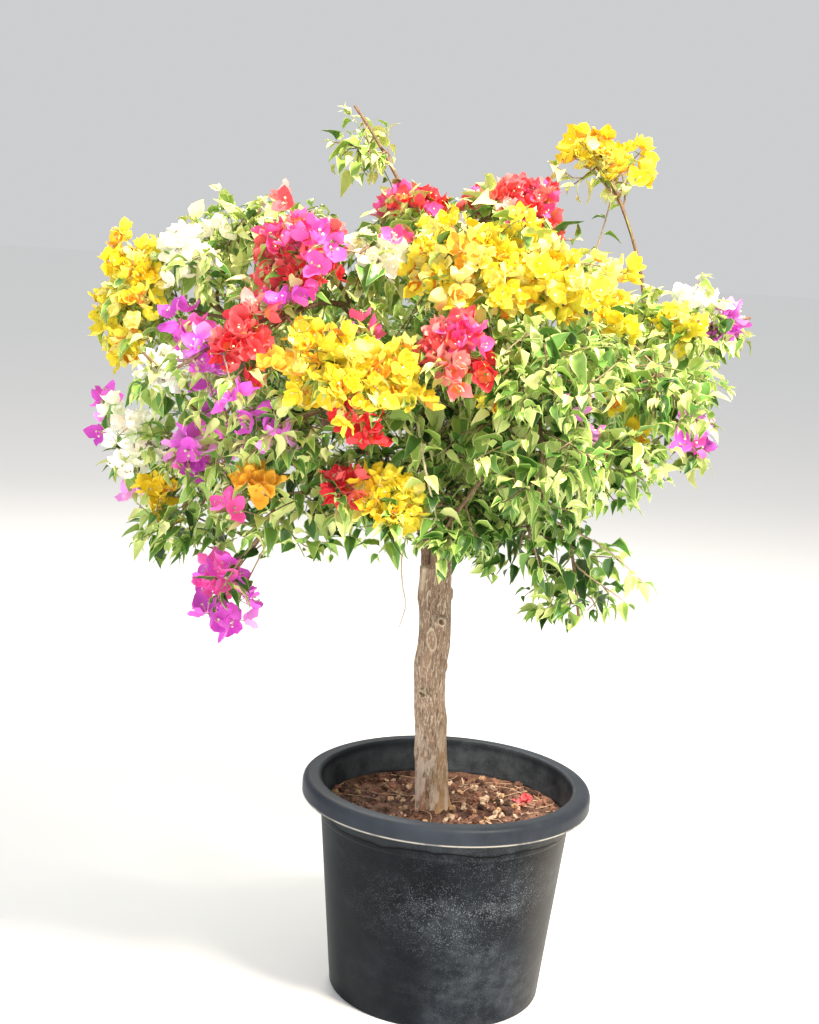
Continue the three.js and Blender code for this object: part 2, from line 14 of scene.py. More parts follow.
import bpy
import numpy as np
from mathutils import Matrix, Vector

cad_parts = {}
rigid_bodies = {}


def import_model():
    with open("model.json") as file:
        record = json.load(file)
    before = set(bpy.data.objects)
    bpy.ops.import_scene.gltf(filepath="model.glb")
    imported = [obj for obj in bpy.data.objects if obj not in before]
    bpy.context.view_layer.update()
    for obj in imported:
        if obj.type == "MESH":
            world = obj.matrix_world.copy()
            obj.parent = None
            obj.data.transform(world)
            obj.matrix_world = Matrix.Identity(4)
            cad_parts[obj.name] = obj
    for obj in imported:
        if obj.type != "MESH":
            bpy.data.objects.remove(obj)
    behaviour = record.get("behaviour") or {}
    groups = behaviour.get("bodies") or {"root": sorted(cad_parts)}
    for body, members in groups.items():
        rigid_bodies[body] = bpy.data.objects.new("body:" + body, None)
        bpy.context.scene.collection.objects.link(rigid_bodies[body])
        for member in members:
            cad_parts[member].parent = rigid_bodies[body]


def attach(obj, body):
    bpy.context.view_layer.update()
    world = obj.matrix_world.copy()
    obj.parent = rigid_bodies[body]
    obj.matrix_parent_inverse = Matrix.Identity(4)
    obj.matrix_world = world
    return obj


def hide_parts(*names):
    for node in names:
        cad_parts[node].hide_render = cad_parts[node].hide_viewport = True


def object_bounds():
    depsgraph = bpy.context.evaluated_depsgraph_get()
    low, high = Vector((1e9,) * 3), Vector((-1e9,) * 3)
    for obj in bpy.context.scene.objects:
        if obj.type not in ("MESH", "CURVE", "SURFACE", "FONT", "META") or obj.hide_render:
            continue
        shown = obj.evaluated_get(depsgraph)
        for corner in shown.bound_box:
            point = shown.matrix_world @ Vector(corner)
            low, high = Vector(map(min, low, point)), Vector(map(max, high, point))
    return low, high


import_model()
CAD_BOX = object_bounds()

log = logging.getLogger("bush")

Rows = np.ndarray
Chances = np.random.Generator
Triple = tuple[float, float, float]
span = np.linalg.norm
MM = 0.001
UP = np.array([0.0, 0.0, 1.0])
TURN = 2 * math.pi
GOLDEN = math.radians(137.5)
SOIL_LEVEL = 285.0
CROWN_AXIS = (-40.0, 0.0)


class Slot(Enum):
    """The record's material slots."""

    PLASTIC = "black_plastic"
    SOIL = "soil"
    BARK = "bark"
    LEAF = "leaf"
    YELLOW = "bract_yellow"
    RED = "bract_red"
    MAGENTA = "bract_magenta"
    WHITE = "bract_white"


def linear(code: str) -> tuple[float, float, float, float]:
    """A colour as linear light.

    Args:
        code: red, green and blue as two hexadecimal digits each.

    Returns:
        Red, green, blue and a full alpha as shares of one.
    """
    shares = [int(code[i : i + 2], 16) / 255 for i in (0, 2, 4)]
    red, green, blue = (s / 12.92 if s < 0.04 else ((s + 0.055) / 1.055) ** 2.4 for s in shares)
    return red, green, blue, 1.0


# Shader maths


def worked(operation: str, swapped: bool = False) -> Callable[["Value", "Value | float"], "Value"]:
    """An operator that adds a Math node, with its two sides swapped where it is the reflected one."""

    def work(self: "Value", other: "Value | float") -> "Value":
        """What the Math node gives."""
        return self.graph.math(operation, *((other, self) if swapped else (self, other)))

    return work


class Value:
    """A number in a shader that adds a Math node whenever something is worked out from it."""

    __add__ = __radd__ = worked("ADD")
    __mul__ = __rmul__ = worked("MULTIPLY")
    __sub__, __rsub__ = worked("SUBTRACT"), worked("SUBTRACT", swapped=True)
    __truediv__ = worked("DIVIDE")
    __pow__ = worked("POWER")

    def __init__(self, graph: "Graph", socket: bpy.types.NodeSocket) -> None:
        """Wraps one output socket of a graph."""
        self.graph = graph
        self.socket = socket

    def within(self, low: float, high: float) -> "Value":
        """A smooth rise from 0 at low to 1 at high."""
        settings = {"interpolation_type": "SMOOTHSTEP", "clamp": True}
        node = self.graph.node("ShaderNodeMapRange", settings, {"Value": self, "From Min": low, "From Max": high})
        return Value(self.graph, node.outputs[0])

    def band(self, centre: float, half: float) -> "Value":
        """A soft bump that is 1 at the centre and 0 from half a band away."""
        return 1 - self.graph.math("ABSOLUTE", self - centre).within(0.0, half)


class Graph:
    """The node tree of one finish, whose colour is laid on coat by coat."""

    def __init__(self, name: str, ground: str) -> None:
        """Makes an empty material of that name, whose first coat is all of one colour."""
        self.material = bpy.data.materials.new(name)
        self.material.use_nodes = True
        self.tree = self.material.node_tree
        self.tree.nodes.clear()
        self.colour: object = linear(ground)

    def node(
        self,
        kind: str,
        settings: Mapping[str, object] | None = None,
        inputs: Mapping[str | int, object] | None = None,
    ) -> bpy.types.Node:
        """Adds one node.

        Args:
            kind: the node's type.
            settings: its properties by name.
            inputs: what goes into its sockets, by name or number: a Value, a socket or a constant.

        Returns:
            The node.
        """
        made = self.tree.nodes.new(kind)
        for key, value in (settings or {}).items():
            setattr(made, key, value)
        for key, value in (inputs or {}).items():
            source = value.socket if isinstance(value, Value) else value
            if isinstance(source, bpy.types.NodeSocket):
                self.tree.links.new(source, made.inputs[key])
            else:
                made.inputs[key].default_value = source
        return made

    def math(self, operation: str, first: Value | float, second: Value | float = 0.0) -> Value:
        """One Math node on one or two numbers."""
        made = self.node("ShaderNodeMath", {"operation": operation}, {0: first, 1: second})
        return Value(self, made.outputs[0])

    def place(self, stretch: Sequence[float] = (1, 1, 1)) -> bpy.types.NodeSocket:
        """The point on the object in metres, stretched along the axes."""
        spot = self.node("ShaderNodeTexCoord").outputs["Object"]
        made = self.node("ShaderNodeVectorMath", {"operation": "MULTIPLY"}, {0: spot, 1: tuple(stretch)})
        return made.outputs[0]

    def axis(self, name: str) -> Value:
        """One coordinate of the point on the object, in millimetres."""
        parts = self.node("ShaderNodeSeparateXYZ", None, {0: self.node("ShaderNodeTexCoord").outputs["Object"]})
        return Value(self, parts.outputs[name]) * 1000.0

    def noise(self, pace: float, detail: float = 4.0, stretch: Sequence[float] = (1, 1, 1)) -> Value:
        """Smooth noise around a half, with that many swells in a metre."""
        inputs = {"Vector": self.place(stretch), "Scale": pace, "Detail": detail, "Roughness": 0.6}
        return Value(self, self.node("ShaderNodeTexNoise", None, inputs).outputs[0])

    def cells(self, pace: float, stretch: Sequence[float] = (1, 1, 1)) -> Value:
        """The distance to the nearest of scattered points, with that many points in a metre."""
        made = self.node("ShaderNodeTexVoronoi", None, {"Vector": self.place(stretch), "Scale": pace})
        return Value(self, made.outputs["Distance"])

    def coat(self, share: Value | float, colour: str) -> None:
        """Lays a colour over the coats so far, thickly where the share is near 1."""
        mixed = {0: share, 6: self.colour, 7: linear(colour)}
        self.colour = self.node("ShaderNodeMix", {"data_type": "RGBA", "clamp_factor": True}, mixed).outputs[2]

    def relief(self, height: Value, depth: float, strength: float = 1.0) -> bpy.types.NodeSocket:
        """A bumped normal, whose height runs from 0 to a depth in millimetres."""
        made = self.node("ShaderNodeBump", None, {"Height": height, "Distance": depth * MM, "Strength": strength})
        return made.outputs[0]

    def surface(self, **inputs: object) -> bpy.types.Material:
        """Ends the tree in a shader with its colour and these inputs, whose names have _ for a space.

        Returns:
            The finished material.
        """
        named = {key.replace("_", " "): value for key, value in inputs.items()}
        shader = self.node("ShaderNodeBsdfPrincipled", None, {"Base Color": self.colour, **named})
        self.node("ShaderNodeOutputMaterial", None, {"Surface": shader.outputs[0]})
        return self.material


# Finishes


@dataclass(frozen=True)
class DustyPlastic:
    """Satin black moulded plastic with pale dust, a pale line along the lip's lower edge, painted sheen and shade.
    """

    body: str = "0c1015"
    wear_and_sheen: str = "2c333d"
    rim: str = "3e444e"
    dust_and_sheen: str = "a3acb5"
    edge: str = "b9b5ad"
    fold_shade: str = "040506"
    brown: str = "4b4540"
    lip_foot: float = 312.0
    lip_inside: float = 201.0
    fold_at: float = 288.0
    fold_sway: float = 34.0
    soil_level: float = SOIL_LEVEL

    def make(self) -> bpy.types.Material:
        """Builds the material."""
        graph = Graph("black plastic", self.body)
        height, right, back = graph.axis("Z"), graph.axis("X"), graph.axis("Y")
        reach = graph.math("SQRT", right**2 + back**2)
        cloud = graph.noise(5.0, 4.0).within(0.3, 0.8)
        # Worn clouds, laid on more thickly towards the right as painted sheen of the lit side.
        graph.coat(cloud * 0.8 * (0.35 + right.within(-150.0, -40.0) * 0.65), self.wear_and_sheen)
        outside = reach.within(self.lip_inside - 1, self.lip_inside + 1)
        on_lip = height.within(self.lip_foot - 1.5, self.lip_foot) * outside
        below_lip = 1 - on_lip
        # Painted sheen: the outer lip takes a lighter blue-grey.
        graph.coat(on_lip * (0.45 + cloud * 0.5), self.rim)

        patch = graph.noise(7.0, 3.0, (1, 1, 1.5)).within(0.34, 0.66)
        lit_side = right.within(-130.0, 60.0) * 0.85 + 0.15
        off_lip = 1 - on_lip * 0.8
        coarse = (1 - graph.cells(250.0).within(0.08, 0.3)) * graph.noise(110.0, 2.0).within(0.42, 0.62)
        fine = (1 - graph.cells(460.0, (1, 1, 0.8)).within(0.14, 0.45)) * graph.noise(90.0, 4.0).within(0.34, 0.62)
        middle = height.band(205.0, 120.0)
        # Real dust specks, laid on more thickly on the lit right side as painted light.
        specks = (coarse * 0.34 * patch + fine * (0.16 + patch * 0.36)) * (0.25 + middle) * lit_side * off_lip
        graph.coat(specks, self.dust_and_sheen)
        # Painted sheen: a soft haze of the pale colour on the lit side.
        sheen_haze = graph.noise(40.0, 8.0, (1, 1, 1.4)).within(0.36, 0.7)
        graph.coat(sheen_haze * patch * lit_side * off_lip * 0.1, self.dust_and_sheen)
        # Painted reflection: a lighter brownish band at the pot's front right edge.
        graph.coat(right.within(110.0, 180.0) * (1 - back.within(-110.0, 10.0)) * below_lip * 0.5, self.brown)

        # A wavy fold under the lip: its dark line is painted shade in the fold, and the faint band above it a
        # painted highlight.
        swayed = height + (graph.noise(7.0, 3.0, (1, 1, 0.0)) * self.fold_sway - self.fold_sway / 2)
        line = swayed.band(self.fold_at, 2.6) * below_lip
        graph.coat(line * 0.9, self.fold_shade)
        above = swayed.within(self.fold_at, self.fold_at + 5) * below_lip
        graph.coat(above * 0.05 * reach.within(186.0, 188.0), self.dust_and_sheen)
        lip = height.band(self.lip_foot + 2.2, 2.0) * reach.within(222.5, 223.5)
        graph.coat(lip * (0.45 + 0.55 * graph.noise(26.0, 3.0, (1, 1, 0.1)).within(0.38, 0.56)), self.edge)

        inner = 1 - (reach - height * 0.1).within(163.0, 164.4)
        inside = (height.within(self.soil_level - 4, self.soil_level) - height.within(322.0, 334.0)) * inner
        graph.coat(inside * 0.16 * graph.noise(30.0, 6.0).within(0.25, 0.7), self.dust_and_sheen)
        grain = graph.noise(900.0, 3.0) + graph.noise(36.0, 3.0) * 1.2 - line * 2.5
        return graph.surface(
            Roughness=specks * 0.3 + 0.36 + cloud * 0.1,
            Normal=graph.relief(grain, 0.35, 0.5),
            Specular_IOR_Level=0.08,
        )


@dataclass(frozen=True)
class Earth:
    """Dry reddish potting soil with darker damp patches and pale grains."""

    dry: str = "a67b66"
    damp: str = "482b20"
    pale: str = "c9a788"

    def make(self) -> bpy.types.Material:
        """Builds the material."""
        graph = Graph("potting soil", self.damp)
        graph.coat(graph.noise(26.0, 6.0).within(0.38, 0.64), self.dry)
        crumb = graph.cells(260.0).within(0.15, 0.75)
        graph.coat(crumb * 0.5, self.damp)
        grains = 1 - graph.cells(700.0).within(0.08, 0.2)
        graph.coat(grains * graph.noise(90.0, 3.0).within(0.5, 0.7), self.pale)
        height = graph.noise(500.0, 6.0) + crumb * -0.6 + graph.noise(160.0, 4.0)
        return graph.surface(Roughness=graph.noise(50.0, 2.0) * 0.2 + 0.8, Normal=graph.relief(height, 2.2, 0.8))


@dataclass(frozen=True)
class Crumb:
    """One tone of the bits that lie on the soil, mottled at random."""

    name: str
    main: str
    other: str

    def make(self) -> bpy.types.Material:
        """Builds the material."""
        graph = Graph(self.name, self.main)
        mottle = graph.noise(320.0, 5.0).within(0.36, 0.64)
        graph.coat(mottle, self.other)
        return graph.surface(Roughness=graph.noise(140.0, 2.0) * 0.2 + 0.75, Normal=graph.relief(mottle, 0.8, 0.6))


@dataclass(frozen=True)
class Bark:
    """Grey-brown bark with fine upright flecks and fissures, which lie closer together at a faster pace."""

    name: str
    main: str
    pink: str
    fleck: str
    fissure: str
    pace: float = 1.0

    def make(self) -> bpy.types.Material:
        """Builds the material."""
        graph = Graph(self.name, self.main)
        pace = self.pace
        graph.coat(graph.noise(38.0 * pace, 5.0, (1, 1, 0.45)).within(0.36, 0.66), self.pink)
        self.shade(graph)
        split = graph.noise(300.0 * pace, 7.0, (1, 1, 0.12)).within(0.38, 0.46)
        graph.coat((1 - split) * 0.7, self.fissure)
        streak = graph.noise(300.0 * pace, 6.0, (1, 1, 0.2)).within(0.55, 0.6)
        thin = graph.noise(620.0 * pace, 4.0, (1, 1, 0.22)).within(0.53, 0.6)
        low = 1 - graph.axis("Z").within(330.0, 620.0) * 0.45
        flecks = streak * 0.75 * low + thin * 0.6 * low
        graph.coat(flecks, self.fleck)
        self.weather_and_light(graph)
        depth = split * 0.8 + streak * 0.5 + graph.noise(900.0 * pace, 4.0, (1, 1, 0.3)) * 0.4
        return graph.surface(Roughness=flecks * 0.1 + 0.8, Normal=graph.relief(depth, 1.0, 0.7))

    def shade(self, graph: Graph) -> None:
        """Darkens the bark under its fissures; young wood stays as it is."""

    def weather_and_light(self, graph: Graph) -> None:
        """Lays stains, scars and painted light over the bark; young wood has none."""


@dataclass(frozen=True)
class Scar:
    """A ring left by a cut shoot at the front: its middle and its half extents."""

    right: float
    height: float
    half_width: float
    half_height: float
    hollow: bool = True


@dataclass(frozen=True)
class OldBark(Bark):
    """The trunk's bark: painted shade high up, painted warm light low on the right, scarred, and bare at the top
    left.
    """

    dark: str = "705c50"
    warm: str = "e2b27a"
    rust: str = "b4673a"
    bare: str = "ecdcc0"
    warm_below: float = 430.0
    bare_from: float = 634.0
    scars: tuple[Scar, ...] = (
        Scar(-38.0, 568.0, 6.5, 17.0, hollow=False),
        Scar(-47.0, 480.0, 5.4, 5.4),
        Scar(-26.0, 597.0, 5.0, 5.8),
    )

    def shade(self, graph: Graph) -> None:
        """Paints the shade of the crown on the upper part."""
        # Painted shade of the crown, darkening the upper trunk.
        graph.coat(graph.axis("Z").within(400.0, 620.0) * 0.6, self.dark)

    def weather_and_light(self, graph: Graph) -> None:
        """Adds the painted warm light on the foot's right side, the rusty foot, the bare strip and the scars."""
        height, right = graph.axis("Z"), graph.axis("X")
        wave = graph.noise(30.0, 3.0) * 60.0 - 30.0
        below = 1 - (height + wave).within(self.warm_below - 80, self.warm_below + 40)
        # Painted warm light low on the trunk's right side.
        graph.coat(below * right.within(-28.0, -8.0) * 0.6, self.warm)
        graph.coat(below * graph.noise(42.0, 6.0, (1, 1, 0.4)).within(0.51, 0.56) * 0.7, self.fleck)
        rusty = graph.noise(60.0, 3.0, (1, 1, 0.3)).within(0.42, 0.6)
        graph.coat(below * right.band(-36.0, 10.0) * rusty * 0.75, self.rust)
        facing = 1 - graph.axis("Y").within(-20.0, -8.0)
        left = 1 - (right + wave * 0.2).within(-60.0, -52.0)
        graph.coat(height.within(self.bare_from, self.bare_from + 12) * left * facing * 0.9, self.bare)
        wobble = graph.noise(70.0, 3.0) * 9.0 - 4.5
        for scar in self.scars:
            across = (right - scar.right + wobble + (height - scar.height) * 0.12) / scar.half_width
            along = (height - scar.height - wobble) / scar.half_height
            far = graph.math("SQRT", across**2 + along**2)
            graph.coat(far.band(1.0, 1.3 / scar.half_width) * facing * 0.7, self.bare)
            if scar.hollow:
                graph.coat((1 - far.within(0.3, 0.75)) * facing * 0.8, self.fissure)


@dataclass(frozen=True)
class Blade:
    """One tone of leaves or bracts: a plain colour with a fine crinkle.

    glow stands for the light that shines through the thin blade.
    """

    name: str
    colour: str
    roughness: float = 0.5
    crinkle: float = 0.25
    sheen: float = 0.0
    glow: float = 0.0

    def make(self) -> bpy.types.Material:
        """Builds the material."""
        graph = Graph(self.name, self.colour)
        return graph.surface(
            Roughness=self.roughness,
            Sheen_Weight=self.sheen,
            Emission_Color=linear(self.colour),
            Emission_Strength=self.glow,
            Normal=graph.relief(graph.noise(240.0, 3.0), 1.6, self.crinkle),
        )


LEAF_TONES = (
    Blade("leaf shade", "264819", 0.38, glow=0.01),
    Blade("leaf deep", "46742f", 0.36, glow=0.02),
    Blade("leaf mid", "6e9c48", 0.34, glow=0.03),
    Blade("leaf bright", "98bc58", 0.34, glow=0.04),
    Blade("leaf light", "c6da7c", 0.36, glow=0.05),
    Blade("leaf young", "e6ec9e", 0.42, glow=0.05),
)


def papery(kind: str, *tones: tuple[str, str, float]) -> tuple[Blade, ...]:
    """The tones of one kind of bract, each from its name, colour and glow; the last is its foot's."""
    return tuple(Blade(f"{kind} {name}", colour, 0.6, 0.35, 0.15, glow) for name, colour, glow in tones)


YELLOW_TONES = papery(
    "yellow",
    ("bright", "ffee48", 0.06),
    ("pale", "fff58e", 0.06),
    ("golden", "ffe12c", 0.06),
    ("amber", "fcc136", 0.06),
    ("foot", "f2a42c", 0.06),
)
RED_TONES = papery(
    "red",
    ("scarlet", "ee3442", 0.06),
    ("coral", "f66268", 0.08),
    ("salmon", "fb9692", 0.08),
    ("pink", "f55aa4", 0.1),
    ("foot", "f58a48", 0.08),
)
MAGENTA_TONES = papery(
    "magenta",
    ("vivid", "e663dc", 0.2),
    ("deep", "cc4cc2", 0.16),
    ("pale", "f2a2ea", 0.2),
    ("pink", "f564bc", 0.2),
    ("foot", "cc52a8", 0.16),
)
WHITE_TONES = papery(
    "white",
    ("clear", "fffefa", 0.2),
    ("cream", "fdf8e2", 0.18),
    ("greenish", "f2f5dc", 0.16),
    ("warm", "fdf2e6", 0.18),
    ("foot", "e4eabc", 0.12),
)
TUBE_TONE = Blade("flower tube", "f3ecc6", 0.55, 0.1)
TRUNK_BARK = OldBark("bark", "a4886f", "c6a387", "fbe8d0", "4a382d")
BOUGH_BARK = Bark("bough bark", "7d6452", "6d5343", "b39b82", "453429", 1.6)
TWIG_TONES = (
    Bark("twig brown", "94755d", "82644e", "c9ae91", "5a4435", 3.0),
    Bark("twig tan", "c7a98c", "b29373", "e8d5bb", "8d7259", 3.0),
    Bark("twig green", "a3ab62", "929858", "d4d798", "72784a", 3.0),
    Bark("twig pale", "ddd0ae", "cabd98", "f1e9cf", "a99b78", 3.0),
)
CRUMB_TONES = (
    Crumb("crumb brown", "5f3f32", "7e5847"),
    Crumb("crumb red", "8b5c49", "a97a65"),
    Crumb("crumb tan", "c4a283", "e8cfb6"),
    Crumb("crumb orange", "b58a64", "d8b08c"),
    Crumb("crumb dark", "35231b", "4c3429"),
    Crumb("crumb straw", "d8b99a", "c0977c"),
    Crumb("fallen red", "ea4a56", "f5737a"),
)

# Which of the twigs' tones a twig has, and which of the crumbs' a bit on the soil
Wood = IntEnum("Wood", "BROWN TAN GREEN PALE", start=0)
Bit = IntEnum("Bit", "BROWN RED TAN ORANGE DARK STRAW FALLEN", start=0)


# Lines, noise and meshes


def unit(rows: Rows) -> Rows:
    """The same directions with a length of one."""
    return rows / np.maximum(span(rows, axis=-1, keepdims=True), 1e-9)


def frames(lead: Rows, face: Rows) -> Rows:
    """Turning matrices whose rows are the lead, the side and the face.

    Args:
        lead: one direction a row, kept as it is.
        face: one direction a row, which is squared up to the lead.

    Returns:
        A matrix for each row, by which a form's points are multiplied from the left.
    """
    first = unit(lead)
    third = unit(face - np.sum(face * first, axis=-1, keepdims=True) * first)
    return np.stack([first, np.cross(third, first), third], axis=-2)


def turned(way: Rows, axis: Rows, angle: float) -> Rows:
    """A direction turned about an axis by an angle in radians."""
    cosine, sine = math.cos(angle), math.sin(angle)
    return way * cosine + np.cross(axis, way) * sine + axis * np.dot(axis, way) * (1 - cosine)


def beside(along: Rows) -> Rows:
    """A level direction square to a line's own."""
    return unit(np.cross(along, UP) + 1e-6)


def spiral(number: int, count: int, shift: float) -> Rows:
    """One of so many directions that are spread evenly all round, turned by a shift."""
    height = 1 - 2 * (number + 0.5) / count
    around = GOLDEN * number + shift
    ring = math.sqrt(1 - height**2)
    return np.array([ring * math.cos(around), ring * math.sin(around), height])


def walls(rings: int, sides: int) -> Rows:
    """The four-cornered faces between closed rings of points that follow one another."""
    index = np.arange(rings * sides).reshape(rings, sides)
    after = np.roll(index, -1, axis=1)
    return np.stack([index[:-1], after[:-1], after[1:], index[1:]], axis=-1).reshape(-1, 4)


def fan(hub: int, first: int, sides: int) -> Rows:
    """The triangles from one point to a closed ring whose points start at a number."""
    ring = first + np.arange(sides)
    return np.stack([np.full(sides, hub), ring, np.roll(ring, -1)], axis=-1)


def capped(rings: int, sides: int) -> list[Rows]:
    """A closed tube's faces: the walls of its rings, and fans from the two points that follow theirs."""
    count = rings * sides
    return [walls(rings, sides), fan(count, 0, sides)[:, ::-1], fan(count + 1, count - sides, sides)]


def halves(quads: Rows) -> Rows:
    """The two triangles of each four-cornered face."""
    return quads[:, [0, 1, 2, 0, 2, 3]].reshape(-1, 3)


def circles(radii: Rows, heights: Rows, sides: int) -> Rows:
    """Level rings of points, one for each radius and height."""
    angles = np.arange(sides) * 2 * np.pi / sides
    x, y = radii[:, None] * np.cos(angles), radii[:, None] * np.sin(angles)
    return np.stack([x, y, np.repeat(heights[:, None], sides, axis=1)], axis=-1)


class Grain:
    """Seeded smooth noise in space, from -1 to 1."""

    def __init__(self, seed: int, size: int = 32) -> None:
        """Deals out the numbers of a lattice."""
        self.size = size
        self.table = np.random.default_rng(seed).uniform(-1, 1, (size, size, size))

    def at(self, points: Rows, pace: Sequence[float]) -> Rows:
        """One layer of noise.

        Args:
            points: places in millimetres.
            pace: lattice steps in a millimetre along each axis.

        Returns:
            One number for each point.
        """
        steps = points * np.asarray(pace)
        low = np.floor(steps).astype(int)
        part = steps - low
        part = part * part * (3 - 2 * part)
        total = np.zeros(points.shape[:-1])
        for corner in range(8):
            pick = np.array([corner & 1, corner >> 1 & 1, corner >> 2 & 1])
            index = (low + pick) % self.size
            weight = np.prod(np.where(pick, part, 1 - part), axis=-1)
            total += weight * self.table[index[..., 0], index[..., 1], index[..., 2]]
        return total

    def layered(self, points: Rows, pace: Sequence[float], layers: int) -> Rows:
        """Several layers, each twice as fine and half as strong as the one before."""
        scaled = np.asarray(pace, float)
        return sum(self.at(points + 31.7 * i, scaled * 2**i) / 2**i for i in range(layers))


class Path:
    """A line through space that is measured along its own length."""

    def __init__(self, points: Rows) -> None:
        """Measures a line of close points."""
        self.points = points
        steps = span(np.diff(points, axis=0), axis=1)
        self.marks = np.concatenate([[0.0], np.cumsum(steps)])
        self.length = float(self.marks[-1])

    @classmethod
    def bezier(cls, corners: Sequence[Rows], samples: int = 40) -> "Path":
        """A cubic curve from its four corners."""
        t = np.linspace(0, 1, samples)[:, None]
        a, b, c, d = corners
        return cls(a * (1 - t) ** 3 + 3 * b * t * (1 - t) ** 2 + 3 * c * t**2 * (1 - t) + d * t**3)

    @classmethod
    def through(cls, corners: Rows, samples: int = 12) -> "Path":
        """A smooth curve through its corners, with that many points between two of them."""
        padded = np.vstack([2 * corners[0] - corners[1], corners, 2 * corners[-1] - corners[-2]])
        t = np.linspace(0, 1, samples, endpoint=False)[:, None]
        spans = []
        for a, b, c, d in zip(padded, padded[1:], padded[2:], padded[3:]):
            spans.append(
                0.5 * (2 * b + (c - a) * t + (2 * a - 5 * b + 4 * c - d) * t**2 + (3 * b - a - 3 * c + d) * t**3)
            )
        return cls(np.vstack([*spans, corners[-1:]]))

    @classmethod
    def arching(cls, foot: Rows, along: Rows, tip: Rows, arch: float) -> "Path":
        """A curve that leaves its foot along a direction and bends over to its tip from arch above it."""
        first = foot + along * span(tip - foot) * 0.3
        second = (first + tip) / 2 + UP * arch
        return cls.bezier([foot, first, second, tip])

    def at(self, share: Rows | float) -> Rows:
        """The point at a share of the length."""
        distance = np.asarray(share, float) * self.length
        return np.stack([np.interp(distance, self.marks, self.points[:, i]) for i in range(3)], axis=-1)

    def way(self, share: Rows | float) -> Rows:
        """The direction at a share of the length."""
        spot = np.asarray(share, float)
        return unit(self.at(np.minimum(spot + 0.02, 1.0)) - self.at(np.maximum(spot - 0.02, 0.0)))

    def led_by(self, start: Rows) -> "Path":
        """The same line with one point put before it."""
        return Path(np.vstack([start, self.points]))


@dataclass
class Skin:
    """A closed surface's points, and its faces in blocks of the same number of corners."""

    points: Rows
    faces: list[Rows]


def sweep(
    path: Path,
    radius: Callable[[Rows, Rows], Rows],
    sides: int,
    rings: int,
    relief: Callable[[Rows], Rows] | None = None,
) -> Skin:
    """A closed tube along a path.

    Args:
        path: the line that it follows.
        radius: gives the radius from the share of the length and the angle.
        sides: points in a ring.
        rings: steps along the path.
        relief: gives an extra rise from the points on the bare surface.

    Returns:
        The tube's points and faces.
    """
    shares = np.linspace(0, 1, rings + 1)
    spots, ways = path.at(shares), path.way(shares)
    first = np.cross(ways[0], [0.3, 1.0, 0.1] if abs(ways[0][1]) < 0.9 else [1.0, 0.0, 0.0])
    normals = [unit(first)]
    for way in ways[1:]:
        normals.append(unit(normals[-1] - np.dot(normals[-1], way) * way))
    normal = np.array(normals)
    side = np.cross(ways, normal)
    angles = np.arange(sides) * 2 * np.pi / sides
    share, angle = np.meshgrid(shares, angles, indexing="ij")
    out = np.cos(angle)[..., None] * normal[:, None] + np.sin(angle)[..., None] * side[:, None]
    points = spots[:, None] + radius(share, angle)[..., None] * out
    if relief is not None:
        points = points + relief(points)[..., None] * out
    rows = np.vstack([points.reshape(-1, 3), spots[:1], spots[-1:]])
    return Skin(rows, capped(rings + 1, sides))


class Mesh:
    """The points and faces of one piece, gathered from many parts."""

    def __init__(self) -> None:
        """Starts empty."""
        self.points: list[Rows] = []
        self.faces: list[Rows] = []
        self.tones: list[Rows] = []
        self.count = 0

    def add(self, points: Rows, faces: Iterable[Rows], tone: int | Rows = 0) -> None:
        """Adds a part.

        Args:
            points: its points.
            faces: blocks of faces that have the same number of corners.
            tone: the finish's number, for the part or for each face of its one block.
        """
        for block in faces:
            if len(block):
                self.faces.append(block + self.count)
                self.tones.append(np.broadcast_to(tone, len(block)).astype(np.int32))
        self.points.append(points)
        self.count += len(points)

    def make(self, name: str, finishes: Sequence[bpy.types.Material], smooth: bool = True) -> bpy.types.Object:
        """Turns it into an object in metres.

        Args:
            name: the object's name.
            finishes: its materials, in the order of the tones.
            smooth: whether its faces are shaded as one smooth surface.

        Returns:
            The linked object.
        """
        mesh = bpy.data.meshes.new(name)
        rows = (np.vstack(self.points) * MM).astype(np.float32)
        loops = np.concatenate([block.ravel() for block in self.faces]).astype(np.int32)
        sizes = np.concatenate([np.full(len(block), block.shape[1]) for block in self.faces])
        starts = np.concatenate([[0], np.cumsum(sizes)[:-1]]).astype(np.int32)
        mesh.vertices.add(len(rows))
        mesh.vertices.foreach_set("co", rows.ravel())
        mesh.loops.add(len(loops))
        mesh.loops.foreach_set("vertex_index", loops)
        mesh.polygons.add(len(sizes))
        mesh.polygons.foreach_set("loop_start", starts)
        for finish in finishes:
            mesh.materials.append(finish)
        mesh.polygons.foreach_set("material_index", np.concatenate(self.tones))
        mesh.polygons.foreach_set("use_smooth", np.full(len(sizes), smooth))
        mesh.update(calc_edges=True)
        mesh.validate()
        made = bpy.data.objects.new(name, mesh)
        bpy.context.scene.collection.objects.link(made)
        return made


def deliver(made: bpy.types.Object, nodes: Sequence[str] = ()) -> None:
    """Lets a piece ride on the body and puts it in the place of fixed nodes, if any."""
    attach(made, "root")
    if nodes:
        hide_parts(*nodes)
    log.info("%s: %d triangles", made.name, len(made.data.loops) - 2 * len(made.data.polygons))


# The pot and its soil


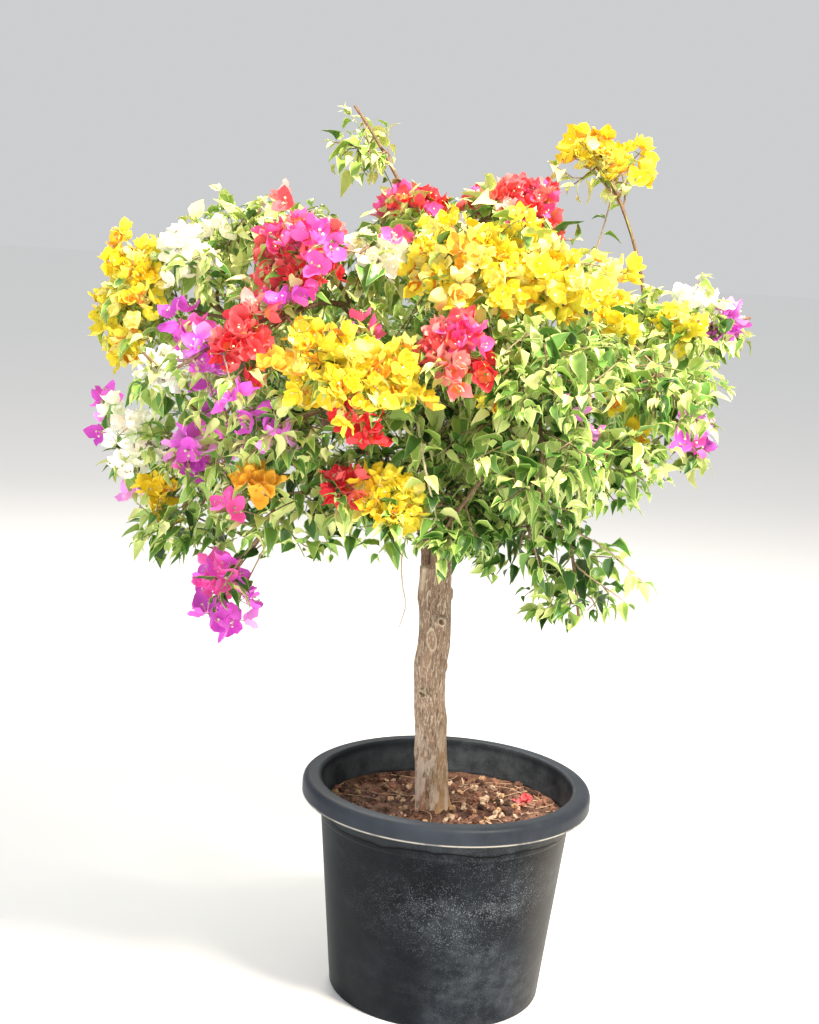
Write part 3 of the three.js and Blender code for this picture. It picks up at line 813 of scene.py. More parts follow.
@dataclass(frozen=True)
class Pot:
    """A round nursery pot with a rolled lip, hollow beneath, and drain holes."""

    height: float = 340.0
    foot_radius: float = 166.0
    draft: float = 0.1
    wall: float = 3.5
    floor: float = 5.0
    lip_radius: float = 225.0
    lip_drop: float = 28.0
    lip_hollow: float = 16.0
    collar_drop: float = 62.0
    collar_proud: float = 1.6
    facets: int = 176
    drains: int = 8
    drain_radius: float = 9.0
    drain_ring: float = 125.0
    sharp_from: float = 40.0

    def outer(self, z: float) -> float:
        """The body's outer radius at a height."""
        return self.foot_radius + self.draft * z

    def profile(self) -> Rows:
        """The wall's outline as radius and height, from the underside's middle to the floor's.

        A corner's third number is how far its rounding reaches along both of its sides.
        """
        lip_foot, hollow = self.height - self.lip_drop, self.height - self.lip_drop + self.lip_hollow
        collar = self.height - self.collar_drop
        proud = self.collar_proud
        corners = [
            (0, 0, 0),
            (90, 0, 0),
            (95, 2.5, 0.6),
            (self.outer(0) - 16, 2.5, 0.6),
            (self.outer(0) - 11, 0, 0.6),
            (self.outer(0), 0, 4),
            (self.outer(96), 96, 0),
            (self.outer(186), 186, 0),
            (self.outer(collar), collar, 0.4),
            (self.outer(collar) + proud, collar + 2 * proud, 0.8),
            (self.outer(hollow) + proud, hollow - proud, 2),
            (self.lip_radius - self.wall, hollow, 4),
            (self.lip_radius - self.wall, lip_foot, 0.8),
            (self.lip_radius - 1.0, lip_foot - 0.2, 0.5),
            (self.lip_radius, lip_foot + 1.4, 0.8),
            (self.lip_radius, self.height, 13),
            (self.outer(self.height) - self.wall, self.height, 6),
            (self.outer(200) - self.wall, 200, 0),
            (self.outer(self.floor) - self.wall, self.floor, 3),
            (0, self.floor, 0),
        ]
        rows: list[Rows] = []
        for i, (r, z, round_) in enumerate(corners):
            here = np.array([r, z], float)
            if not round_:
                rows.append(here)
                continue
            before = np.array(corners[i - 1][:2], float)
            after = np.array(corners[i + 1][:2], float)
            a = here + unit(before - here) * round_
            b = here + unit(after - here) * round_
            steps = 8 if round_ > 3 else 4
            for t in np.linspace(0, 1, steps):
                rows.append(a * (1 - t) ** 2 + here * 2 * t * (1 - t) + b * t**2)
        return np.array(rows)

    def build(self) -> None:
        """Makes the pot."""
        profile = self.profile()
        ring = profile[1:-1]
        spread = circles(ring[:, 0], ring[:, 1], self.facets)
        sway = Grain(3).at(spread, (0.006, 0.006, 0.004)) * np.clip(spread[..., 2] / self.height, 0, 1) * 0.9
        spread[..., :2] *= 1 + (sway / 200)[..., None]
        mesh = Mesh()
        middles = np.array([[0, 0, profile[0, 1]], [0, 0, profile[-1, 1]]])
        mesh.add(np.vstack([spread.reshape(-1, 3), middles]), capped(len(ring), self.facets))
        made = mesh.make("pot_shell", [DustyPlastic().make()])
        self.drill(made)
        made.data.set_sharp_from_angle(angle=math.radians(self.sharp_from))
        deliver(made, ["pot"])

    def drill(self, shell: bpy.types.Object) -> None:
        """Cuts the drain holes through the floor."""
        drills = Mesh()
        for i in range(self.drains):
            angle = TURN * (i + 0.5) / self.drains
            x, y = self.drain_ring * math.cos(angle), self.drain_ring * math.sin(angle)
            line = Path(np.array([[x, y, -8.0], [x, y, 3 * self.floor]]))
            hole = sweep(line, lambda share, _: np.full(share.shape, self.drain_radius), 28, 1)
            drills.add(hole.points, hole.faces)
        tool = drills.make("drills", [])
        cut = shell.modifiers.new("drains", "BOOLEAN")
        cut.operation = "DIFFERENCE"
        cut.solver = "EXACT"
        cut.object = tool
        graph = bpy.context.evaluated_depsgraph_get()
        cut_mesh = bpy.data.meshes.new_from_object(shell.evaluated_get(graph))
        shell.modifiers.clear()
        shell.data = cut_mesh
        bpy.data.objects.remove(tool)


@dataclass(frozen=True)
class SoilBed:
    """An uneven bed of soil with clods, stones, wood chips, dry leaf bits and straws on it."""

    level: float = SOIL_LEVEL
    radius: float = 190.6
    floor: float = 5.3
    foot_radius: float = 162.7
    trunk: tuple[float, float] = (-20.0, -2.0)
    clear_of_trunk: float = 31.0
    clear_of_edge: float = 5.0
    rings: int = 84
    sectors: int = 190
    swell: float = 6.0
    crumble: float = 4.2
    clod_shapes: int = 9
    clods: int = 820
    stones: int = 62
    chips: int = 46
    straws: int = 34
    straw_radius: float = 0.7
    fallen: tuple[float, float] = (124.0, 58.0)
    fallen_size: float = 21.0
    seed: int = 21

    def height(self, points: Rows) -> Rows:
        """How far the soil lies over its level, in swells and crumbs, with banks at the trunk and the wall."""
        grain = Grain(self.seed)
        flat = np.concatenate([points[..., :2], np.zeros_like(points[..., :1])], axis=-1)
        reach = span(flat[..., :2], axis=-1)
        trunk = span(flat[..., :2] - np.array(self.trunk), axis=-1)
        wide = grain.at(flat, (0.011, 0.011, 0)) * self.swell
        fine = grain.layered(flat + 500, (0.07, 0.07, 0), 4) * self.crumble
        calm = np.clip((self.radius - reach) / 10, 0, 1)
        foot = 5 * np.exp(-((trunk / 45) ** 2))
        return (wide + fine) * (0.35 + 0.65 * calm) + foot + 3.5 * (reach / self.radius) ** 6

    def build(self) -> None:
        """Makes the bed and what lies on it."""
        reach = self.radius * np.linspace(0.004, 1, self.rings)
        radii = np.array([*reach, self.radius, self.foot_radius, 2.0])
        heights = np.array([self.level] * self.rings + [self.level - 8, self.floor, self.floor])
        rows = circles(radii, heights, self.sectors)
        rows[: self.rings, :, 2] += self.height(rows[: self.rings])
        mesh = Mesh()
        mesh.add(rows.reshape(-1, 3), [walls(len(rows), self.sectors)[:, [0, 3, 2, 1]]])
        mesh.add(rows[0], [fan(0, 0, self.sectors)[1:-1]])
        deliver(mesh.make("soil_bed", [Earth().make()]), ["soil"])
        self.strew()

    def strew(self) -> None:
        """Scatters the clods and bits."""
        rng = np.random.default_rng(self.seed)
        mesh = Mesh()
        clods = [self.clod(rng) for _ in range(self.clod_shapes)]
        size = 1.6 + 7.0 * rng.random(self.clods) ** 2.6
        earthy = [Bit.BROWN, Bit.RED, Bit.TAN, Bit.ORANGE, Bit.DARK]
        tones = rng.choice(earthy, self.clods, p=[0.36, 0.34, 0.05, 0.05, 0.2])
        spots = self.spots(rng, self.clods)
        calm = np.exp(-(((spots[:, 0] + 95) / 60) ** 2 + ((spots[:, 1] + 60) / 80) ** 2))
        size = size * (1 - 0.6 * calm)
        for i, spot in enumerate(spots):
            self.lay(mesh, rng, clods[i % len(clods)], spot, float(size[i]), int(tones[i]))
        for spot in self.spots(rng, self.stones, (45.0, 0.0), 85.0):
            stone = clods[int(rng.integers(len(clods)))]
            self.lay(mesh, rng, stone, spot, rng.uniform(4, 8), int(rng.choice([Bit.TAN, Bit.ORANGE])))
        chip = self.chip()
        for spot in self.spots(rng, self.chips):
            turn = frames(rng.normal(size=3) * [1, 1, 0.15], UP + rng.normal(size=3) * 0.25)
            sides = np.array([rng.uniform(9, 22), rng.uniform(3, 7), rng.uniform(1, 2.4)])
            tone = int(rng.choice([Bit.TAN, Bit.BROWN, Bit.STRAW], p=[0.3, 0.4, 0.3]))
            mesh.add((chip.points * sides) @ turn + spot + UP * 1.5, chip.faces, tone)
        for spot in self.spots(rng, self.straws, (70.0, 70.0), 95.0):
            way = unit(rng.normal(size=3) * [1, 1, 0.1])
            half = rng.uniform(14, 46)
            middle = spot + UP * rng.uniform(3, 7)
            bend = unit(np.cross(way, UP)) * half * rng.uniform(-0.35, 0.35)
            ends = [middle - way * half, middle + bend, middle + way * half]
            line = Path.through(np.array([self.on_bed(e, 2.0) for e in ends]), 4)
            straw = sweep(line, lambda share, _: np.full(share.shape, self.straw_radius), 4, 8)
            mesh.add(straw.points, straw.faces, Bit.STRAW)
        self.drop_bract(mesh, rng)
        finishes = [tone.make() for tone in CRUMB_TONES]
        deliver(mesh.make("soil_crumbs", finishes, smooth=False))

    @staticmethod
    def lay(mesh: Mesh, rng: Chances, clod: Skin, spot: Rows, size: float, tone: int) -> None:
        """Lays one clod or stone on the bed, turned at random."""
        turn = frames(unit(rng.normal(size=3)), rng.normal(size=3))
        mesh.add((clod.points @ turn) * size + spot + UP * size * 0.3, clod.faces, tone)

    def drop_bract(self, mesh: Mesh, rng: Chances) -> None:
        """Lays the fallen bracts on the soil."""
        form = BloomShape(bracts=5, lift=12, tier=30, tubes=0).form(rng)
        spot = self.on_bed(np.array([*self.fallen, 0.0]), 3.0)
        laid = form.placed(self.fallen_size, UP + np.array([0.1, -0.3, 0.0]), np.array([1.0, 0.2, 0.0]), spot)
        mesh.add(laid.points, [laid.faces], Bit.FALLEN)

    def spots(
        self, rng: Chances, count: int, round_: tuple[float, float] | None = None, spread: float = 90.0
    ) -> Rows:
        """Scattered points on the bed, clear of the trunk.

        Args:
            rng: the source of chances.
            count: how many points.
            round_: the middle that they gather round, if they do.
            spread: how far they spread from it.

        Returns:
            At most that many points.
        """
        tries = count * 3
        if round_ is None:
            reach = (self.radius - self.clear_of_edge) * np.sqrt(rng.random(tries))
            angle = rng.random(tries) * 2 * np.pi
            rows = np.stack([reach * np.cos(angle), reach * np.sin(angle), np.zeros(tries)], axis=-1)
        else:
            rows = np.concatenate([rng.normal(round_, spread, (tries, 2)), np.zeros((tries, 1))], axis=1)
        clear = span(rows[:, :2] - np.array(self.trunk), axis=1) > self.clear_of_trunk
        clear &= span(rows[:, :2], axis=1) < self.radius - self.clear_of_edge
        rows = rows[clear][:count]
        rows[:, 2] = self.level + self.height(rows)
        return rows

    def on_bed(self, point: Rows, rise: float) -> Rows:
        """A point moved to just over the bed, and inside the wall."""
        reach = span(point[:2])
        held = point[:2] * min(1.0, (self.radius - 3) / max(reach, 1.0))
        spot = np.array([held[0], held[1], 0.0])
        spot[2] = self.level + self.height(spot[None])[0] + rise
        return spot

    @staticmethod
    def clod(rng: Chances) -> Skin:
        """A lumpy round of soil or stone of radius one."""
        rings, sectors = 4, 7
        tilt = np.pi * (np.arange(rings) + 1) / (rings + 1)
        rows = circles(np.sin(tilt), np.cos(tilt), sectors).reshape(-1, 3)
        rows = np.vstack([rows, UP, -UP]) * rng.uniform(0.62, 1.2, (rings * sectors + 2, 1))
        wall, top, under = capped(rings, sectors)
        return Skin(rows * rng.uniform(0.55, 1.15, 3), [np.vstack([halves(wall), top, under])[:, ::-1]])

    @staticmethod
    def chip() -> Skin:
        """A splinter of wood of unit size, narrower at its ends."""
        section = np.array([(-0.5, -0.5), (0.5, -0.4), (0.4, 0.5), (-0.4, 0.4)])
        rows = []
        for x, share in ((-0.5, 0.5), (-0.2, 1.0), (0.25, 0.9), (0.5, 0.35)):
            rows += [(x, y * share, z * share) for y, z in section]
        ends = halves(np.array([[0, 1, 2, 3], [12, 15, 14, 13]]))
        return Skin(np.array(rows), [np.vstack([halves(walls(4, 4))[:, ::-1], ends])])


# The trunk and the boughs


@dataclass(frozen=True)
class Knot:
    """A lump where a shoot was cut, so far up the trunk at a bearing, and so proud and wide.

    stretch is its height to its width, and a ring stands out at its edge alone, with a dimple in its middle.
    """

    up: float
    bearing: float
    proud: float
    reach: float
    stretch: float = 1.0
    ring: bool = False

    def rise(self, up: Rows, round_: Rows) -> Rows:
        """How far the bark stands out.

        Args:
            up: the distance up the trunk.
            round_: the distance round the trunk from the knot's bearing.

        Returns:
            The rise at each point.
        """
        far = np.sqrt((round_ / self.reach) ** 2 + ((up - self.up) / (self.reach * self.stretch)) ** 2)
        if self.ring:
            return self.proud * (np.exp(-(((far - 1) / 0.42) ** 2)) - 0.3 * np.exp(-((far / 0.6) ** 2)))
        return self.proud * np.exp(-(far**2))


@dataclass(frozen=True)
class Trunk:
    """A stub of a trunk with a slight kink, a flared foot, knots and a cut head."""

    soil: float = SOIL_LEVEL
    height: float = 398.0
    foot: tuple[float, float] = (-20.0, -2.0)
    head: tuple[float, float] = CROWN_AXIS
    sunk: float = 6.0
    girth: float = 24.5
    flare: float = 3.2
    flare_length: float = 25.0
    swell: float = 0.5
    sides: int = 110
    rings: int = 270
    knots: tuple[Knot, ...] = (
        Knot(195, 242, 4.4, 5.4, ring=True),
        Knot(195, 242, 2.4, 11),
        Knot(193, 262, 5.0, 3.6, 0.8),
        Knot(312, 296, 4.4, 5.4, 1.1, ring=True),
        Knot(312, 296, 2.0, 10),
        Knot(283, 266, 2.2, 6.5, 2.6, ring=True),
        Knot(132, 80, 4, 16),
        Knot(60, 310, 2.0, 18),
        Knot(96, 200, 2.6, 12),
        Knot(240, 190, 2.8, 18, 1.5),
        Knot(345, 190, 3.0, 16),
        Knot(350, 20, 3.4, 7, ring=True),
        Knot(232, 30, 3.0, 6, ring=True),
        Knot(150, 340, 2.0, 20),
        Knot(120, 120, 3.0, 6, 1.4, ring=True),
    )

    def path(self) -> Path:
        """The trunk's own line."""
        foot = np.array([*self.foot, self.soil - self.sunk])
        head = np.array([*self.head, self.soil + self.height])
        shifts = [(0.3, -3, 1), (0.55, -6, 0), (0.72, -1, -1)]
        middle = [foot + (head - foot) * t + np.array([x, y, 0]) for t, x, y in shifts]
        return Path.through(np.array([foot, *middle, head]))

    def build(self, finish: bpy.types.Material) -> None:
        """Makes the trunk in one finish."""
        path = self.path()
        grain = Grain(11)

        def radius(share: Rows, angle: Rows) -> Rows:
            """The trunk's radius, with its flare, its swellings and the ridges at its foot."""
            rise = share * path.length - self.sunk
            size = self.girth + self.flare * np.exp(-np.maximum(rise, 0) / self.flare_length)
            size = size + self.swell * np.sin(share * 9 + 1)
            for count, shift, pace in ((2, 0.6, 8.0), (3, 2.2, 11.0), (4, 4.1, 7.0)):
                size = size + 0.7 * np.sin(count * angle + shift + pace * share)
            lobes = np.maximum(np.cos(5 * angle + 0.8), 0) ** 2
            size = size + lobes * 4.2 * np.exp(-np.maximum(rise, 0) / 14)
            return size * (1 - 0.9 * np.maximum(share - 0.985, 0) / 0.015 * 0.25)

        def relief(points: Rows) -> Rows:
            """How far the bark stands out: its swells, its grooves and its knots."""
            coarse = grain.layered(points, (0.06, 0.06, 0.018), 3) * 0.9
            groove = np.abs(grain.layered(points + 90, (0.32, 0.32, 0.045), 2))
            fine = grain.layered(points + 40, (0.55, 0.55, 0.14), 2) * 0.3
            total = coarse + fine - np.clip(0.3 - groove, 0, 1) * 1.7
            up = points[..., 2] - self.soil
            axis = path.at(np.clip((up + self.sunk) / path.length, 0, 1))
            bearing = np.arctan2(points[..., 1] - axis[..., 1], points[..., 0] - axis[..., 0])
            for knot in self.knots:
                off = bearing - math.radians(knot.bearing)
                total = total + knot.rise(up, self.girth * np.arctan2(np.sin(off), np.cos(off)))
            return total

        skin = sweep(path, radius, self.sides, self.rings, relief)
        mesh = Mesh()
        mesh.add(skin.points, skin.faces)
        deliver(mesh.make("trunk_bark", [finish]), ["trunk"])


@dataclass(frozen=True)
class Limb:
    """One tapering bough, from its parent's tip to a point of the crown."""

    name: str
    parent: str
    bearing: float
    reach: float
    height: float
    arch: float
    radius: float = 5.2
    tip: float = 4.6

    def target(self) -> Rows:
        """Where its tip lies."""
        return crown_point(self.bearing, self.reach, self.height)


def crown_point(bearing: float, reach: float, height: float) -> Rows:
    """A point of the crown from its bearing, its reach from the axis and its height over the soil."""
    angle = math.radians(bearing)
    x, y = CROWN_AXIS[0] + reach * math.cos(angle), CROWN_AXIS[1] + reach * math.sin(angle)
    return np.array([x, y, SOIL_LEVEL + height])


LEADERS = (
    Limb("leader_left", "trunk", 195, 105, 560, 10, 9, 6.4),
    Limb("leader_front", "trunk", 268, 95, 545, 10, 8.5, 6.2),
    Limb("leader_right", "trunk", 345, 90, 585, 10, 10, 6.8),
    Limb("leader_back", "trunk", 95, 100, 565, 10, 9, 6.4),
)
LIMBS = (
    Limb("limb_far_left", "leader_left", 186, 330, 755, 60),
    Limb("limb_low_left", "leader_left", 204, 300, 600, 50),
    Limb("limb_upper_left", "leader_left", 226, 200, 770, 40),
    Limb("limb_front_low", "leader_front", 243, 225, 600, 45),
    Limb("limb_front", "leader_front", 258, 265, 690, 50),
    Limb("limb_front_right", "leader_front", 292, 255, 690, 50),
    Limb("limb_low_right", "leader_right", 318, 215, 590, 60),
    Limb("limb_right", "leader_right", 350, 240, 740, 45),
    Limb("limb_top", "leader_right", 270, 60, 835, 10),
    Limb("limb_back_right", "leader_back", 38, 265, 700, 50),
    Limb("limb_back", "leader_back", 92, 270, 710, 55),
    Limb("limb_back_left", "leader_back", 142, 280, 700, 50),
)


def fork(parent: Path, targets: Sequence[Rows], radius: float) -> list[Rows]:
    """The feet of the branches that leave a tip, in a ring before it.

    Args:
        parent: the line that forks.
        targets: where the branches go.
        radius: a branch's radius.

    Returns:
        One foot for each target, as near as can be to that target's side.
    """
    clear = 0.3
    tip, along = parent.at(1.0), parent.way(1.0)
    out = (radius + clear) / math.sin(math.pi / len(targets)) if len(targets) > 1 else 0.0
    side = unit(np.cross(along, UP))
    rise = np.cross(side, along)
    angles = [math.atan2(np.dot(target - tip, rise), np.dot(target - tip, side)) for target in targets]
    order = sorted(range(len(targets)), key=lambda i: angles[i])
    step = 2 * math.pi / len(targets)
    offs = [angles[index] - rank * step for rank, index in enumerate(order)]
    first = math.atan2(sum(map(math.sin, offs)), sum(map(math.cos, offs)))
    feet: list[Rows] = [tip] * len(targets)
    for rank, index in enumerate(order):
        angle = first + rank * step
        feet[index] = tip + along * clear + out * (math.cos(angle) * side + math.sin(angle) * rise)
    return feet


@dataclass
class Boughs:
    """The leaders and limbs that fork from the trunk's head, with the line and the hidden root of each."""

    fork_radius: float = 14.6
    root_drop: float = 16.0
    root_lap: float = 12.0
    sides: int = 14
    rings: int = 70
    paths: dict[str, Path] = field(default_factory=dict)
    roots: dict[str, Rows] = field(default_factory=dict)

    def __post_init__(self) -> None:
        """Lays out every bough's line."""
        head = np.array([*CROWN_AXIS, SOIL_LEVEL + Trunk.height])
        for leader in LEADERS:
            angle = math.radians(leader.bearing)
            foot = head + self.fork_radius * np.array([math.cos(angle), math.sin(angle), 0.02])
            path = Path.arching(foot, UP, leader.target(), leader.arch)
            self.paths[leader.name] = path
            self.roots[leader.name] = foot - UP * self.root_drop - (foot - head) * 0.35
            own = [limb for limb in LIMBS if limb.parent == leader.name]
            for limb, start in zip(own, fork(path, [limb.target() for limb in own], own[0].radius)):
                self.paths[limb.name] = Path.arching(start, path.way(1.0), limb.target(), limb.arch)
                self.roots[limb.name] = path.at(1 - self.root_lap / path.length)

    def build(self, finish: bpy.types.Material) -> None:
        """Makes the boughs as one piece."""
        mesh = Mesh()
        grain = Grain(29)
        every = (*LEADERS, *LIMBS)
        for number, limb in enumerate(every):
            gnarl = (0.16 if limb in LEADERS else 0.12) * limb.radius

            def radius(share: Rows, angle: Rows, limb: Limb = limb, number: int = number) -> Rows:
                """The limb's radius: it tapers, swells at its nodes and closes at its tip."""
                size = limb.radius + (limb.tip - limb.radius) * share
                nodes = np.exp(-(((share * 9 + number * 0.37) % 1 - 0.5) ** 2) / 0.008) * 0.9
                swell = nodes * (0.5 + 0.5 * np.cos(angle - share * 20))
                return size + swell - 4.0 * np.maximum(share - 0.985, 0) / 0.015

            def relief(points: Rows, gnarl: float = gnarl) -> Rows:
                """How far the limb's bark stands out."""
                return grain.layered(points, (0.05, 0.05, 0.03), 3) * gnarl

            path = self.paths[limb.name].led_by(self.roots[limb.name])
            skin = sweep(path, radius, self.sides, self.rings, relief)
            mesh.add(skin.points, skin.faces)
        deliver(mesh.make("boughs", [finish]), [limb.name for limb in every])


# The crown


USUAL_TONES = (0.42, 0.26, 0.22, 0.1)


@dataclass(frozen=True)
class Mass:
    """A mass of leaves or a spray of bracts, with the half extents of its room.

    core is the share of those half extents that its heads of bracts keep to, and tones weighs its bracts' tones.
    Nothing grows below lowest, and fullness is its share of the usual number of twigs.
    """

    name: str
    limb: str
    bearing: float
    reach: float
    height: float
    size: Triple
    core: float = 0.8
    tones: tuple[float, float, float, float] = USUAL_TONES
    lowest: float = 0.0
    fullness: float = 1.0

    @property
    def centre(self) -> Rows:
        """The middle of its room."""
        return crown_point(self.bearing, self.reach, self.height)

    @property
    def kind(self) -> str:
        """Its colour, or leaves."""
        return self.name.split("_")[0]

    @property
    def girth(self) -> float:
        """The mean half extent."""
        return sum(self.size) / 3

    def reach_along(self, way: Rows) -> float:
        """How far its ellipsoid reaches from its centre."""
        return 1 / float(span(way / np.array(self.size)))


MASSES = (
    Mass("yellow_far_left", "far_left", 187, 470, 765, (72, 84, 100), 1.0, (0.5, 0.28, 0.2, 0.02)),
    Mass("white_high_left", "far_left", 194, 390, 842, (62, 70, 62), 0.92),
    Mass("leaves_left_shoulder", "far_left", 182, 300, 880, (100, 85, 60)),
    Mass("magenta_left", "upper_left", 224, 440, 715, (65, 65, 85), 0.6),
    Mass("white_mid_left", "low_left", 210, 445, 690, (60, 65, 60), 0.82),
    Mass("white_low_left", "low_left", 195, 450, 570, (66, 70, 75), 0.98),
    Mass("magenta_low_left", "low_left", 213, 415, 575, (58, 60, 58), 0.75),
    Mass("leaves_low_left", "low_left", 205, 370, 475, (105, 85, 62), fullness=0.7),
    Mass("magenta_hanging", "front_low", 216, 355, 385, (58, 58, 70), 0.95, (0.35, 0.15, 0.2, 0.3), 600, 0.3),
    Mass("red_left", "upper_left", 232, 430, 735, (52, 55, 72), 0.95, (0.1, 0.4, 0.4, 0.1)),
    Mass("red_upper_left", "upper_left", 229, 325, 850, (86, 86, 84), 0.95, (0.12, 0.4, 0.2, 0.28)),
    Mass("leaves_front_low_left", "front_low", 234, 320, 525, (100, 75, 65), fullness=0.8),
    Mass("red_low", "front_low", 249, 345, 560, (54, 56, 54), 0.7, (0.85, 0.1, 0.05, 0.0)),
    Mass("yellow_low", "front_low", 260, 335, 545, (62, 62, 66), 0.9, (0.45, 0.1, 0.35, 0.1)),
    Mass("leaves_front", "front", 240, 375, 640, (95, 72, 62)),
    Mass("yellow_centre", "front", 254, 395, 712, (112, 72, 66), 1.0, (0.5, 0.3, 0.17, 0.03)),
    Mass("red_centre", "front", 271, 375, 750, (52, 52, 72), 1.06, (0.2, 0.45, 0.25, 0.1)),
    Mass("leaves_hanging_front", "front_right", 273, 335, 530, (56, 56, 125), lowest=762, fullness=0.8),
    Mass("leaves_front_right", "front_right", 290, 355, 725, (100, 80, 70)),
    Mass("leaves_right_middle", "front_right", 291, 345, 612, (98, 78, 70)),
    Mass("yellow_main", "top", 284, 265, 845, (140, 100, 78), 0.96, (0.45, 0.35, 0.17, 0.03)),
    Mass("white_upper", "top", 248, 275, 862, (70, 75, 60), 0.7, (0.15, 0.6, 0.15, 0.1)),
    Mass("red_top_left", "top", 225, 90, 930, (80, 70, 52), 0.82, (0.25, 0.1, 0.05, 0.6)),
    Mass("red_top", "top", 320, 105, 930, (85, 75, 66), 0.9, (0.12, 0.46, 0.27, 0.15)),
    Mass("leaves_tall_shoot", "top", 200, 150, 1040, (48, 50, 80)),
    Mass("yellow_top_shoot", "right", 347, 195, 1010, (70, 52, 46), 1.12, (0.45, 0.15, 0.35, 0.05)),
    Mass("yellow_right", "right", 339, 340, 785, (74, 66, 58), 0.7, (0.4, 0.15, 0.35, 0.1)),
    Mass("magenta_right", "right", 355, 395, 790, (60, 62, 66), 0.6),
    Mass("leaves_right", "right", 322, 350, 715, (90, 80, 66)),
    Mass("leaves_low_right", "low_right", 310, 340, 620, (85, 72, 62)),
    Mass("leaves_under_right", "low_right", 300, 240, 500, (100, 80, 62)),
    Mass("leaves_hanging_right", "low_right", 318, 270, 415, (70, 66, 70), lowest=650, fullness=0.8),
    Mass("leaves_back_right", "back_right", 25, 340, 690, (110, 105, 90)),
    Mass("yellow_back_right", "back_right", 48, 375, 770, (75, 75, 70)),
    Mass("magenta_back_right", "back_right", 20, 395, 600, (70, 70, 62), 0.7),
    Mass("leaves_back", "back", 86, 320, 715, (130, 120, 92)),
    Mass("red_back", "back", 102, 215, 860, (100, 100, 70), 0.8, (0.3, 0.35, 0.15, 0.2)),
    Mass("leaves_back_low", "back", 70, 330, 540, (110, 80, 66)),
    Mass("leaves_back_left", "back_left", 148, 370, 680, (110, 100, 90)),
    Mass("white_back_left", "back_left", 130, 370, 790, (75, 75, 66)),
    Mass("magenta_back_left", "back_left", 160, 380, 545, (75, 75, 68)),
)


class Room:
    """The space of one mass: its ellipsoid, on its own side of the plane between it and each other mass."""

    overhang = 1.35

    def __init__(self, mass: Mass) -> None:
        """Sets up the planes."""
        self.mass = mass
        self.centre = mass.centre
        self.size = np.array(mass.size, float)
        ways, shares = [], []
        for other in MASSES:
            if other is mass:
                continue
            gap = other.centre - self.centre
            length = float(span(gap))
            way = gap / length
            own = mass.reach_along(way)
            ways.append(way)
            shares.append(length * own / (own + other.reach_along(way)))
        self.ways = np.array(ways)
        self.shares = np.array(shares)

    def holds(self, points: Rows, overhang: float = overhang) -> Rows:
        """Whether each point lies in the room."""
        away = np.atleast_2d(points) - self.centre
        oval = span(away / self.size, axis=1)
        above = np.atleast_2d(points)[:, 2] > self.mass.lowest
        return (oval < overhang) & above & np.all(away @ self.ways.T < self.shares, axis=1)

    def run(self, start: Rows, way: Rows) -> float:
        """How far one can go from a point before leaving the room, up to 400 mm."""
        step, most = 2.0, 400.0
        steps = np.arange(step, most + step, step)
        inside = self.holds(start + steps[:, None] * way)
        return most if inside.all() else float(steps[int(np.argmin(inside))] - step)


class Part(Enum):
    """What a face of a stamped form takes its tone from."""

    OWN = 0
    TUBE = 1
    FOOT = 2
    # The last two take lighter tones: painted light on one half of a folded leaf, and a painted highlight along
    # its margin.
    LIT = 3
    LIT_MARGIN = 4


@dataclass(frozen=True)
class Form:
    """A small form of unit length that is stamped many times, with the Part number of each face."""

    points: Rows
    faces: Rows
    part: Rows

    def placed(self, size: float, lead: Rows, face: Rows, spot: Rows) -> "Form":
        """The form at another size, turned to a lead and a face and moved to a spot."""
        return Form(self.points * size @ frames(lead, face) + spot, self.faces, self.part)

    @staticmethod
    def joined(forms: Sequence["Form"]) -> "Form":
        """Several forms as one."""
        starts = np.cumsum([0, *(len(form.points) for form in forms)])
        return Form(
            np.vstack([form.points for form in forms]),
            np.vstack([form.faces + start for form, start in zip(forms, starts)]),
            np.concatenate([form.part for form in forms]),
        )


